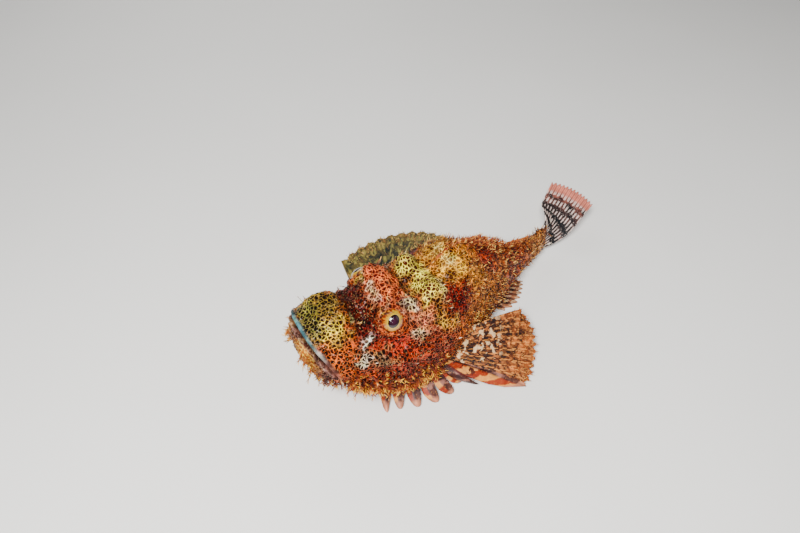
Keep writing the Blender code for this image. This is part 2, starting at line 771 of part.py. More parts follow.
def make_anal_fin(collection):
    """The anal fin, laid over on the left of the belly."""
    def path(position, share):
        run = position / (ANAL_RAYS - 1)
        along = ANAL_BASE[0] + (ANAL_BASE[1] - ANAL_BASE[0]) * run
        root = bend(body_straight(along, math.radians(-74), -ROOT_DEPTH))
        sweep = math.radians(ANAL_SWEEP[0] + (ANAL_SWEEP[1] - ANAL_SWEEP[0]) * run)
        heading = local_direction(along, (math.cos(sweep), math.sin(sweep), 0))
        tip = root + heading * (bump(run, *ANAL_LENGTHS) + ROOT_DEPTH)
        tip[2] = FIN_CLEARANCE
        return arc(root, tip, 0.0, share)

    return make_fin("anal_fin", path, fin_columns(ANAL_RAYS), 6, lambda p: 0.8, collection)


def arc(root, tip, rise, share, aside=(0, 0, 0)):
    """A point on the arc from root to tip that bulges up by rise and aside."""
    middle = (root + tip) / 2 + np.array([0, 0, rise]) + np.array(aside)
    return (1 - share) ** 2 * root + 2 * share * (1 - share) * middle + share * share * tip


def make_caudal_fin(collection):
    """The tail fin, half closed, rolled over and curled to the fish's right."""
    stalk_half = STALK_FACE_HALF

    def path(position, share):
        across = 2 * position / (CAUDAL_RAYS - 1) - 1
        length = CAUDAL_LENGTH * (1 - 0.10 * across * across)
        reach = length * share
        open_ = 1.3 * share - 0.3 * share * share
        half = stalk_half + (CAUDAL_SPREAD - stalk_half) * open_
        roll = CAUDAL_ROLL * smooth_step(share * 1.5)
        curl = CAUDAL_CURL * share * share
        out = across * half
        return bend(np.array([STANDARD_LENGTH + GAP + reach, out * math.sin(roll) - curl,
                              CAUDAL_RISE * share - out * math.cos(roll)]))

    return make_fin("caudal_fin", path, fin_columns(CAUDAL_RAYS), 7, lambda p: 0.965, collection)


def make_pectoral(name, side, collection):
    """A pectoral fin: a fan of thin rays to the rear and thick free rays that curl to the floor."""
    last_thin = PECTORAL_RAYS - PECTORAL_THICK_RAYS - 1

    def path(position, share):
        run = position / (PECTORAL_RAYS - 1)
        (along0, turn0), (along1, turn1) = PECTORAL_BASE
        along = along0 + (along1 - along0) * run
        turn = math.radians(turn0 + (turn1 - turn0) * run)
        root = bend(body_straight(along, turn, -ROOT_DEPTH) * np.array([1, side, 1]))
        thin_run = min(position / last_thin, 1)
        thick_run = np.clip((position - last_thin - 1) / (PECTORAL_THICK_RAYS - 1), 0, 1)
        thick = np.clip(position - last_thin, 0, 1)
        turned = 1 - (1 - thick_run) ** 1.8
        fan_sweep = between(PECTORAL_FAN_SWEEP[side], thin_run)
        thick_sweep = between(PECTORAL_THICK_SWEEP[side], turned)
        sweep = math.radians(between((fan_sweep, thick_sweep), thick))
        thick_length = between(PECTORAL_THICK_LENGTHS, thick_run**1.3)
        length = between((bump(thin_run, *PECTORAL_FAN_LENGTHS[side]), thick_length), thick) + ROOT_DEPTH
        heading = local_direction(72, (math.cos(sweep), math.sin(sweep), 0), side)
        tip = root + heading * length
        fan_height = between(PECTORAL_TIP_HEIGHTS[side], thin_run**0.7)
        tip[2] = max(between((fan_height, THICK_TIP_HEIGHT), thick), FIN_CLEARANCE)
        ahead = local_direction(72, (-math.sin(sweep), math.cos(sweep), 0), side)
        return arc(root, tip, length * (0.08 + 0.14 * thick), share, ahead * length * PECTORAL_THICK_CURL * thick)

    def notch(position):
        return 0.93 if position < last_thin else 0.6

    columns = fin_columns(PECTORAL_RAYS, PECTORAL_THICK_RAYS)
    sizes = [THICK_RAY_THICKNESS if p > last_thin + 0.3 else RAY_THICKNESS for p, _ in columns]
    return make_fin(name, path, columns, 7, notch, collection, sizes)


def make_pelvic(name, side, collection):
    """A pelvic fin, laid on the floor beside the belly."""
    def path(position, share):
        run = position / (PELVIC_RAYS - 1)
        turn = math.radians(-52 - 16 * run)
        root = bend(body_straight(70 + 5 * run, turn, -ROOT_DEPTH) * np.array([1, side, 1]))
        sweep = math.radians(48 - 38 * run)
        heading = local_direction(72, (math.cos(sweep), math.sin(sweep), 0), side)
        length = PELVIC_LENGTH * (0.72 + 0.28 * math.sin(math.pi * (0.25 + 0.6 * run)))
        tip = root + heading * length
        tip[2] = FIN_CLEARANCE
        return arc(root, tip, -0.1 * root[2], share)

    return make_fin(name, path, fin_columns(PELVIC_RAYS), 7, lambda p: 0.85, collection)


def cut_clear(fin, cutters):
    """Cuts a fin's root to the skin that it grows from, with the gap kept."""
    shell = GAP + 0.05
    blanks = [make_head_blank("head_room", cutters, shell), make_trunk_blank("trunk_room", cutters, shell)]
    for blank in blanks:
        boolean(fin, "DIFFERENCE", blank)
    remove_objects(blanks)
    keep_largest(fin)


def give_material(obj, colour, roughness=0.5):
    material = bpy.data.materials.new(obj.name)
    material.use_nodes = True
    shader = material.node_tree.nodes["Principled BSDF"]
    shader.inputs["Base Color"].default_value = (*colour, 1.0)
    shader.inputs["Roughness"].default_value = roughness
    obj.data.materials.clear()
    obj.data.materials.append(material)


def stand_at_origin(nodes):
    """Puts the bottom centre of the whole fish at the origin through a parent empty."""
    corners = np.array([vert.co for obj in nodes for vert in obj.data.vertices])
    low, high = corners.min(0), corners.max(0)
    root = bpy.data.objects.new("papuan_scorpionfish", None)
    root.location = (-(low[0] + high[0]) / 2, -(low[1] + high[1]) / 2, -low[2])
    bpy.context.scene.collection.objects.link(root)
    for obj in nodes:
        obj.parent = root


def main():
    clear_scene()
    collection = bpy.data.collections.new("papuan scorpionfish")
    holder = bpy.data.collections.new("pieces to join")
    cutters = bpy.data.collections.new("cutters")
    for group in (collection, holder, cutters):
        bpy.context.scene.collection.children.link(group)

    flesh = [make_head(collection, holder, cutters), make_lower_jaw(collection, holder, cutters)]
    flesh += [make_trunk(collection, holder), make_tail_stalk(collection, holder)]
    eyes = make_eyes(collection)
    fins = [
        make_dorsal("dorsal_fin_spines", DORSAL_SPINES, DORSAL_SPINE_BASE, DORSAL_SPINE_LENGTHS,
                    DORSAL_SPINE_RAKE, 0.68, collection),
        make_dorsal("dorsal_fin_soft", DORSAL_RAYS, DORSAL_RAY_BASE, DORSAL_RAY_LENGTHS,
                    DORSAL_RAY_RAKE, 0.9, collection),
        make_anal_fin(collection),
        make_pectoral("pectoral_fin_left", 1, collection),
        make_pectoral("pectoral_fin_right", -1, collection),
        make_pelvic("pelvic_fin_left", 1, collection),
        make_pelvic("pelvic_fin_right", -1, collection),
    ]
    for fin in fins:
        cut_clear(fin, cutters)
    fins.append(make_caudal_fin(collection))
    for obj in flesh:
        give_material(obj, (0.52, 0.20, 0.08), 0.5)
    for obj in fins:
        give_material(obj, (0.50, 0.26, 0.14), 0.45)
    for obj in eyes:
        give_material(obj, (0.16, 0.10, 0.05), 0.08)
    stand_at_origin(flesh + eyes + fins)
    for group in (holder, cutters):
        bpy.data.collections.remove(group)


main()
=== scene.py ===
# %% [markdown]
# # A Papuan scorpionfish at rest
# A scorpionfish hides by looking like the reef: a net of pale lines over dark skin, tassels of skin
# along every edge, and banded fins spread flat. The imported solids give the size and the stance. This
# lesson dresses them: one fine skin over head, jaw and body, fins with raised rays, wet eyes, and
# thousands of small threads and tassels scattered by Geometry Nodes.

import json
import math

import bmesh
import bpy
import numpy as np
from mathutils import Matrix, Vector

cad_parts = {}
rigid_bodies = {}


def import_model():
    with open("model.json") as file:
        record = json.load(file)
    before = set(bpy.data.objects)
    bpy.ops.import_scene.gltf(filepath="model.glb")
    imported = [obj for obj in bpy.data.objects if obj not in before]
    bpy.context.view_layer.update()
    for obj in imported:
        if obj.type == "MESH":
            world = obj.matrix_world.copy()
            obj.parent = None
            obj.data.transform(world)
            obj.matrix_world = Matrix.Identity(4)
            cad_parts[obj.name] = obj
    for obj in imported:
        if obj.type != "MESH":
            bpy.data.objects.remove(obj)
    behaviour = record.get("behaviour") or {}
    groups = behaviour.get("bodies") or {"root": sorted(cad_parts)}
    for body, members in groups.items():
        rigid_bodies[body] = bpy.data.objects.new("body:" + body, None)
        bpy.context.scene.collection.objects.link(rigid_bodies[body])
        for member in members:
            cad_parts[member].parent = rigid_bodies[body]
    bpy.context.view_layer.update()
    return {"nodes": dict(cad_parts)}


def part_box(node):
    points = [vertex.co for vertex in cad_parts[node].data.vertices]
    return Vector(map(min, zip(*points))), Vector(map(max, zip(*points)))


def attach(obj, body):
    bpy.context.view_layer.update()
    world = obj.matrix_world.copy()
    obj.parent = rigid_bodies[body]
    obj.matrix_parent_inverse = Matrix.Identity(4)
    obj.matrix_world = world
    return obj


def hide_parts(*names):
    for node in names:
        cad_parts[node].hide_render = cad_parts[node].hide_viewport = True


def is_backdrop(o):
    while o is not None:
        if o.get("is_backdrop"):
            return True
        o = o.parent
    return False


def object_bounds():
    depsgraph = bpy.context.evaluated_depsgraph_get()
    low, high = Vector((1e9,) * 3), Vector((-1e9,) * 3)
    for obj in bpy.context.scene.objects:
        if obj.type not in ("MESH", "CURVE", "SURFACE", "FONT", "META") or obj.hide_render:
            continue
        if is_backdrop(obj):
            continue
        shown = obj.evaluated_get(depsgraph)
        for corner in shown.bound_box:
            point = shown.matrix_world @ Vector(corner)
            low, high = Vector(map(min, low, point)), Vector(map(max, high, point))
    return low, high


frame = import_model()
print("solids", sorted(frame["nodes"]))

# %% [markdown]
# ## The body as a rule
# The body's shape is a rule, not a sculpture: an outline of back, belly and width along the fish,
# soft swellings pushed into it, and a bent spine that carries the straight fish into its pose. A
# rule can be read anywhere, so the skin, the eyelids, the fins and each tassel all find their place
# by asking it. These sizes are millimetres, and meshes are made in metres at the end.

# %% Sizes of the body
MM = 0.001
STANDARD_LENGTH = 160.0
BODY_DEPTH = 60.0
HEAD_WIDTH = 56.0
CHIN_REACH = 3.5
CHIN_HEIGHT = 6.0
FLOOR_BELOW_SPINE = 27.0
NOSE_ROUNDING = 7.0
UPPER_SQUARENESS, LOWER_SQUARENESS = 2.1, 2.5

# share of the length, back, belly and half width as shares, height of the widest line
OUTLINE = np.array((
    (-0.025, 0.17, 0.02, 0.13, 0.08), (0.005, 0.22, -0.11, 0.22, 0.05), (0.055, 0.29, -0.25, 0.30, -0.02),
    (0.117, 0.32, -0.34, 0.36, -0.07), (0.190, 0.36, -0.40, 0.41, -0.09), (0.285, 0.43, -0.44, 0.445, -0.07),
    (0.39, 0.48, -0.455, 0.455, -0.03), (0.495, 0.55, -0.465, 0.405, -0.02), (0.6, 0.47, -0.43, 0.32, -0.02),
    (0.710, 0.33, -0.33, 0.215, 0.00), (0.820, 0.20, -0.21, 0.125, 0.00), (0.920, 0.145, -0.15, 0.075, 0.00),
    (1.000, 0.155, -0.155, 0.055, 0.00),
))

# centre, reach and push of each swelling or hollow: back from the snout, out from the middle, up
RELIEF = {
    "snout_hump": ((11, 5, 16), (8, 8, 9), (-1.0, 0.5, 4.5)),
    "hollow_before_eye": ((23.5, 9, 19), (6, 10, 9), (1.5, -1.5, -5.5)),
    "forehead": ((37, 0, 25), (8.5, 13, 12), (-2.5, 0, 7.5)),
    "brow": ((33.5, 12.5, 24), (7.5, 6, 8), (-3.0, 1.8, 7.5)),
    "brow_behind_eye": ((45, 12, 25), (7, 5, 8), (0, 1.5, 1.5)),
    "pit_behind_brows": ((49.5, 0, 28), (5.5, 14, 10), (0, 0, -5.5)),
    "nape": ((57.5, 10, 28), (6, 6, 9), (0, 1.5, 4.5)),
    "saddle_behind_nape": ((65.5, 0, 30), (4.5, 14, 10), (0, 0, -2.0)),
    "shoulder": ((79, 0, 33), (11, 13, 12), (0, 0, 3.0)),
    "hollow_under_eye": ((35, 21, 8), (9, 8, 4), (0, -2.5, 0)),
    "cheek_ridge": ((38, 23, 2), (14, 8, 3.5), (0, 2.5, 0)),
    "upper_jaw_plate": ((16, 18, -4), (7, 8, 6), (0, 2.0, 0)),
    "lower_cheek": ((44, 24, -12), (11, 8, 8), (0, 1.5, 0)),
    "gill_cover": ((60, 26, 8), (9, 9, 9), (0, 1.5, 0)),
    "throat": ((38, 6, -26), (14, 12, 8), (0, 0, -1.5)),
}
print(len(OUTLINE), "outline stations,", len(RELIEF), "swellings and hollows")

# %% Helpers for curves and directions


def smooth_line(x, xs, ys):
    """A curve through the points (xs, ys) with even slopes, read at x."""
    xs, ys = np.asarray(xs, float), np.asarray(ys, float)
    slope = np.gradient(ys, xs)
    x = np.clip(x, xs[0], xs[-1])
    i = np.clip(np.searchsorted(xs, x) - 1, 0, len(xs) - 2)
    step = xs[i + 1] - xs[i]
    t = (x - xs[i]) / step
    ease_out, ease_in = (1 + 2 * t) * (1 - t) ** 2, t * t * (3 - 2 * t)
    return (ease_out * ys[i] + t * (1 - t) ** 2 * step * slope[i]
            + ease_in * ys[i + 1] + t * t * (t - 1) * step * slope[i + 1])


def smooth_step(x):
    x = np.clip(x, 0, 1)
    return x * x * (3 - 2 * x)


def unit(v):
    v = np.asarray(v, float)
    return v / np.maximum(np.linalg.norm(v, axis=-1, keepdims=True), 1e-9)


def between(ends, share):
    return ends[0] + (ends[1] - ends[0]) * share


def bell(x, width, power=2):
    """1 at x = 0, and falling off on both sides within about a width."""
    return np.exp(-((x / width) ** power))


def waves(points, size, seed, count=12):
    """A smooth random field, mostly between -1 and 1, made of crossed plane waves."""
    rng = np.random.default_rng(seed)
    way = unit(rng.normal(size=(count, 3)))
    pitch = 2 * math.pi / (size * rng.uniform(0.7, 1.4, count))
    phase = rng.uniform(0, 2 * math.pi, count)
    return np.sin(points @ (way * pitch[:, None]).T + phase).sum(-1) / math.sqrt(count)


print("halfway up a smooth step:", float(smooth_step(0.5)))

# %% The straight fish: outline, relief and gill edge
GILL_EDGE = np.array(((-90, 44), (-60, 50), (-25, 61), (10, 67.5), (35, 67), (62, 64.5), (90, 63)))


def outline_at(along):
    """Back height, belly height, half width and height of the widest line."""
    share = along / STANDARD_LENGTH
    back, belly, half, widest = [smooth_line(share, OUTLINE[:, 0], OUTLINE[:, k]) * size for k, size in
                                 ((1, BODY_DEPTH), (2, BODY_DEPTH), (3, HEAD_WIDTH), (4, BODY_DEPTH))]
    from_tip = np.clip((along + CHIN_REACH) / NOSE_ROUNDING, 0, 1)
    fullness = np.sqrt(1 - (1 - from_tip) ** 2)
    back, belly, widest = [CHIN_HEIGHT + (v - CHIN_HEIGHT) * fullness for v in (back, belly, widest)]
    return back, belly, half * fullness, widest


def relief(points):
    """Pushes points of the plain body into the swellings and hollows, alike on both sides."""
    mirrored = points * np.where(points[..., 1:2] < 0, [1, -1, 1], [1, 1, 1])
    moved = mirrored.copy()
    for centre, reach, push in RELIEF.values():
        far = ((mirrored - np.array(centre)) / np.array(reach)) ** 2
        moved = moved + np.exp(-far.sum(-1))[..., None] * np.array(push)
    return moved * np.where(points[..., 1:2] < 0, [1, -1, 1], [1, 1, 1])


def gill_edge_at(turn):
    """How far along the gill cover reaches, at an angle round the body."""
    return smooth_line(np.degrees(np.arcsin(np.sin(turn))), GILL_EDGE[:, 0], GILL_EDGE[:, 1])


def body_straight(along, turn, lift=0.0):
    """A point of the straight body's skin. turn is 0 on the left flank and 90 degrees on the back."""
    along, turn = np.broadcast_arrays(np.asarray(along, float), np.asarray(turn, float))
    back, belly, half, widest = outline_at(along)
    across, rise = np.cos(turn), np.sin(turn)
    square = np.where(rise > 0, UPPER_SQUARENESS, LOWER_SQUARENESS)
    height = np.where(rise > 0, back - widest, widest - belly) + lift
    side = (half + lift) * np.sign(across) * np.abs(across) ** (2 / square)
    up = widest + height * np.sign(rise) * np.abs(rise) ** (2 / square)
    return relief(np.stack([along, side, up], -1))


print("widest half width", round(float(outline_at(np.array(66.0))[2]), 1), "mm at the gills")

# %% The bent spine
HEAD_TILT, TRUNK_TILT, TAIL_TILT = np.radians((-17, -9, -8))
HEAD_TURN, TAIL_TURN, TAIL_TURN_LATE = math.radians(-8), math.radians(13), 1.5
NECK_ALONG, NECK_BLEND, TAIL_BEND_START = 66.0, 26.0, 86.0


def spine_table():
    """The bent spine every half millimetre: place, and the directions left and up."""
    along = np.arange(-60.0, 260.0, 0.5)
    neck = smooth_step((NECK_ALONG - along) / NECK_BLEND)
    rear = np.clip((along - TAIL_BEND_START) / (STANDARD_LENGTH - TAIL_BEND_START), 0, 1.2)
    tilt = TRUNK_TILT + (HEAD_TILT - TRUNK_TILT) * neck + (TAIL_TILT - TRUNK_TILT) * rear
    turn = HEAD_TURN * neck + TAIL_TURN * rear**TAIL_TURN_LATE
    back = np.stack([np.cos(tilt) * np.cos(turn), np.cos(tilt) * np.sin(turn), np.sin(tilt)], -1)
    place = np.cumsum(back, 0) * 0.5
    place -= np.array([np.interp(NECK_ALONG, along, place[:, k]) for k in range(3)])
    left = unit(np.cross(back, (0, 0, 1)))
    return along, place, left, np.cross(left, back)


SPINE = spine_table()
shift = np.zeros(3)


def bend(points):
    """Carries straight points onto the bent spine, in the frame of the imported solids."""
    along, place, left, up = SPINE

    def read_at(table):
        return np.stack([np.interp(points[..., 0], along, table[:, k]) for k in range(3)], -1)

    bent = read_at(place) + unit(read_at(left)) * points[..., 1:2] + unit(read_at(up)) * points[..., 2:3]
    return bent + np.array([0, 0, FLOOR_BELOW_SPINE]) + shift


def on_skin(along, degrees, lift=0.0, side=1):
    """A point on the bent fish's skin, or lifted off it, on the left side or the right one."""
    return bend(body_straight(along, np.radians(degrees), lift) * np.array([1, side, 1]))


def local_direction(along, direction, side=1):
    """Turns a direction of the straight fish (back, left, up) into the bent one."""
    start = np.array([along, 0.0, 0.0])
    step = np.array(direction) * np.array([1, side, 1]) * 0.5
    return unit(bend(start + step) - bend(start))


def swept(along, sweep, side=1):
    """A level direction at a place along: so many degrees from rearward towards the fish's own side."""
    angle = np.radians(sweep)[..., None]
    back, out = local_direction(along, (1, 0, 0), side), local_direction(along, (0, 1, 0), side)
    return np.cos(angle) * back + np.sin(angle) * out


EYE_RADIUS = 6.4
EYE_PLACE = np.array((35.5, 12.7, 17.2))
low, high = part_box("eye_left")
shift = (np.array(low) + np.array(high)) / 2 / MM - bend(EYE_PLACE)
print("the solids stand shifted by", shift.round(2), "mm")

# %% [markdown]
# ## One fine skin
# Head, lower jaw, trunk and tail stalk are separate solids, but a fish has one skin. It is a fine
# grid: rings along the fish, crowded at the snout, and points round each ring. A ring lies exactly
# on the gill cover's edge, and the next one lies lower, so the cover ends in a real step. The
# mouth, nostrils and fine lumps are then pressed in along the skin's own outward direction.

# %% Lay out the grid of the skin
AROUND = 300
HEAD_RINGS, REAR_RINGS = 176, 142
GILL_LIFT, GILL_LIFT_REACH, GILL_STEP = 1.3, 9.0, 0.9
TAIL_LOBE = 5.0


def skin_grid():
    """Distance along, angle round and straight place of every point of the skin."""
    turns = np.linspace(0, 2 * math.pi, AROUND, endpoint=False)
    edge = gill_edge_at(turns)
    t = np.linspace(0, 1, HEAD_RINGS)[:, None]
    head = -CHIN_REACH + 0.004 + (edge + CHIN_REACH) * 1.25 * t * t / (t + 0.25)
    flare = smooth_step((head - edge + GILL_LIFT_REACH) / GILL_LIFT_REACH)
    head_lift = GILL_LIFT * flare * np.abs(np.cos(turns))
    t = np.linspace(0, 1, REAR_RINGS)[:, None]
    rear = edge + 0.2 + (STANDARD_LENGTH + TAIL_LOBE - edge - 0.2) * t
    rear_lift = -GILL_STEP * bell(rear - edge, 2.5) * np.abs(np.cos(turns))
    along = np.concatenate([head, rear])
    lift = np.concatenate([head_lift, rear_lift])
    straight = body_straight(along, np.broadcast_to(turns, along.shape), lift)
    past = np.clip((along - STANDARD_LENGTH) / TAIL_LOBE, 0, 1)
    straight[..., 1] *= np.sqrt(1 - 0.97 * past**2)
    straight[..., 2] *= 1 - 0.12 * past
    return along, np.broadcast_to(turns, along.shape), straight


grid_along, grid_turn, grid_straight = skin_grid()
skin_points = bend(grid_straight)
print("skin grid", skin_points.shape[:2])


def grid_normals(points, centre_line):
    """Outward direction at each point of a grid of closed rings."""
    ahead = np.gradient(points, axis=0)
    round_ = np.roll(points, -1, 1) - np.roll(points, 1, 1)
    outward = unit(np.cross(round_, ahead))
    return outward if np.median(((points - centre_line) * outward).sum(-1)) > 0 else -outward


centre_line = skin_points.mean(1, keepdims=True)
outward = grid_normals(skin_points, centre_line)

# %% [markdown]
# The mouth is a wide, steep gape. Its line crosses the skin from one corner over the chin to the
# other. A groove follows the line and two lips swell beside it, measured by each point's distance
# from the line, so lips and groove keep one width all the way round.

# %% Press in the mouth
GAPE_FRONT, GAPE_CORNER = (-2.0, 9.5), (10.4, -4.6)
LIP_SEAT, FRONT_BULGE, FACE_END = 1.6, 0.4, 26.0


def gape_height(along):
    run = (along - GAPE_FRONT[0]) / (GAPE_CORNER[0] - GAPE_FRONT[0])
    return GAPE_FRONT[1] + run * (GAPE_CORNER[1] - GAPE_FRONT[1])


def mouth_line(away, count=70):
    """The line of the mouth from corner to corner on the straight fish, moved off the gape."""
    turns = np.radians(np.linspace(-89, 89, 357))
    left = []
    for a in GAPE_FRONT[0] + 0.4 + (GAPE_CORNER[0] + 1.2 - GAPE_FRONT[0]) * np.linspace(1, 0, count) ** 1.6:
        skin = body_straight(a, turns)
        left.append((a, float(np.interp(gape_height(a), skin[:, 2], skin[:, 1])), gape_height(a)))
    tip, half = left[-1][0], left[-1][1]
    for share in np.linspace(0.9, 0, 10):
        a = tip - FRONT_BULGE * (1 - share**2)
        left.append((a, half * share, gape_height(a)))
    right = [(a, -s, u) for a, s, u in left[::-1]]
    drop, run = GAPE_CORNER[1] - GAPE_FRONT[1], GAPE_CORNER[0] - GAPE_FRONT[0]
    return np.array(left + right) + unit(np.array([-drop, 0, run])) * away


def distance_to(points, line):
    """Distance of each point from the nearest point of a line, with that point's number."""
    near = np.full(points.shape[:-1], 99.0)
    which = np.zeros(points.shape[:-1], int)
    for n, p in enumerate(line):
        far = np.sqrt(((points - p) ** 2).sum(-1))
        closer = far < near
        near = np.where(closer, far, near)
        which = np.where(closer, n, which)
    return near, which


front = grid_along[:, 0] < FACE_END
face = grid_straight[front]
gape, _ = distance_to(face, mouth_line(0.0))
upper_lip, _ = distance_to(face, mouth_line(LIP_SEAT))
lower_lip, lower_at = distance_to(face, mouth_line(-LIP_SEAT))
bead = 1.0 + 0.25 * np.sin(lower_at * 0.55)
press = 1.35 * bell(upper_lip, 1.25, 4) + 1.15 * bead * bell(lower_lip, 1.15, 4) - 1.9 * bell(gape, 0.42)
on_lip = bell(upper_lip, 1.1, 6)
push, lip_mask, chin_mask, groove_mask = np.zeros((4, *grid_along.shape))
push[front], lip_mask[front] = press, on_lip
chin_mask[front] = bell(lower_lip, 1.5, 4) * (1 - on_lip)
groove_mask[front] = bell(gape, 0.7)
print("lips stand out", round(float(press.max()), 2), "mm")

# %% Nostrils and small lumps
# back from the snout, degrees round the body, radius
NOSTRILS = ((17.5, 62.0, 1.3), (22.0, 57.0, 0.9))
for along, turned, size in NOSTRILS:
    place = body_straight(along, math.radians(turned))
    for side in (1, -1):
        far = np.sqrt(((grid_straight - place * np.array([1, side, 1])) ** 2).sum(-1))
        push += 0.7 * bell(far - size * 1.5, 0.6) - 1.6 * bell(far, size, 4)
smooth_skin = np.clip(1 - 1.2 * (lip_mask + chin_mask + groove_mask), 0, 1)
ground = grid_straight.reshape(-1, 3)
lumps = 0.34 * waves(ground, 6.5, 3) + 0.26 * waves(ground, 3.2, 4) + 0.15 * waves(ground, 1.9, 5)
head_only = smooth_step((64 - grid_along) / 12)
push += lumps.reshape(grid_along.shape) * smooth_skin * (0.55 + 0.45 * head_only)
push *= smooth_step((STANDARD_LENGTH + 3 - grid_along) / 8)
skin_points = skin_points + outward * push[..., None]
print("lumps up to", round(float(np.abs(lumps).max()), 2), "mm")

# %% [markdown]
# Each eye sits in a ring of thick skin. Points of the skin in front of the eyeball are sorted by
# their angle off the line of sight: inside the opening they sink under the ball's surface, and
# outside it they rise to a rounded lid. Points close to the edge snap to two circles, which keeps
# the edge smooth.

# %% Open the eyelids
EYE_AIM = (-0.36, 0.74, 0.56)
LID_ANGLE, LID_SNAP, LID_SPREAD = 49.0, 1.4, 9.0
LID_PEAK, LID_HALF, LID_HEIGHT, LID_CLEARANCE = 63.0, 17.0, 1.5, 0.15
LID_FADE, LID_REACH, SKIN_FLOOR = 92.0, 13.0, 0.02


def eye_frame(side):
    """Centre of the eye, and the directions across, up and out along the line of sight."""
    centre = bend(EYE_PLACE * np.array([1, side, 1]))
    aim = local_direction(EYE_PLACE[0], EYE_AIM, side)
    across = unit(np.cross(aim, (0, 0, 1)))
    return centre, across, np.cross(across, aim), aim


lid_mask = np.zeros(grid_along.shape)
for side in (1, -1):
    centre, across, rise, aim = eye_frame(side)
    spoke = skin_points - centre
    far = np.linalg.norm(spoke, axis=-1)
    ray = spoke / far[..., None]
    angle = np.degrees(np.arccos(np.clip(ray @ aim, -1, 1)))
    off = angle - LID_ANGLE
    snapped = np.sign(off + 1e-9) * (LID_SNAP + np.abs(off) * (LID_SPREAD - LID_SNAP) / LID_SPREAD)
    swing_degrees = angle + np.where(np.abs(off) < LID_SPREAD, snapped, off) - off
    swing = np.radians(swing_degrees)
    sideways = unit(ray - (ray @ aim)[..., None] * aim)
    ray = np.cos(swing)[..., None] * aim + np.sin(swing)[..., None] * sideways
    across_lid = np.clip((swing_degrees - LID_PEAK) / LID_HALF, -1, 1)
    lid = EYE_RADIUS + LID_CLEARANCE + LID_HEIGHT * np.cos(across_lid * math.pi / 2) ** 0.7
    inside = smooth_step((LID_ANGLE + LID_SNAP - 0.2 - swing_degrees) / (2 * LID_SNAP - 0.4))
    settle = smooth_step((angle - 62) / 30)
    reach = np.maximum(lid, lid * (1 - settle) + far * settle)
    reach = reach * (1 - inside) + (EYE_RADIUS - 1.1) * inside
    keep = ((far < LID_REACH) * smooth_step((LID_FADE - angle) / 8))[..., None]
    skin_points = skin_points * (1 - keep) + (centre + ray * reach[..., None]) * keep
    lid_mask = np.maximum(lid_mask, bell(swing_degrees - 58, 12) * (far < 11))
skin_points[..., 2] = np.maximum(skin_points[..., 2], SKIN_FLOOR)
print("eye opening", round(2 * EYE_RADIUS * math.sin(math.radians(LID_ANGLE)), 1), "mm across")

# %% [markdown]
# ## Colour where the fish has it, with painted shade and a painted highlight
# A shader can draw the net, but it can't know that the snout is yellow and the cheek is red. So
# two colours are stored on every point of the skin: the net's pale lines and its dark cells. They
# start from a plain orange brown, and each named patch is brushed over it with a ragged edge. The
# numbers are ordinary screen colours from 0 to 255.

# %% Brush the patches onto the skin


def paint(*rgb):
    """A screen colour from 0 to 255 as the light it stands for."""
    c = np.array(rgb, float) / 255
    return np.where(c <= 0.04045, c / 12.92, ((c + 0.055) / 1.055) ** 2.4)


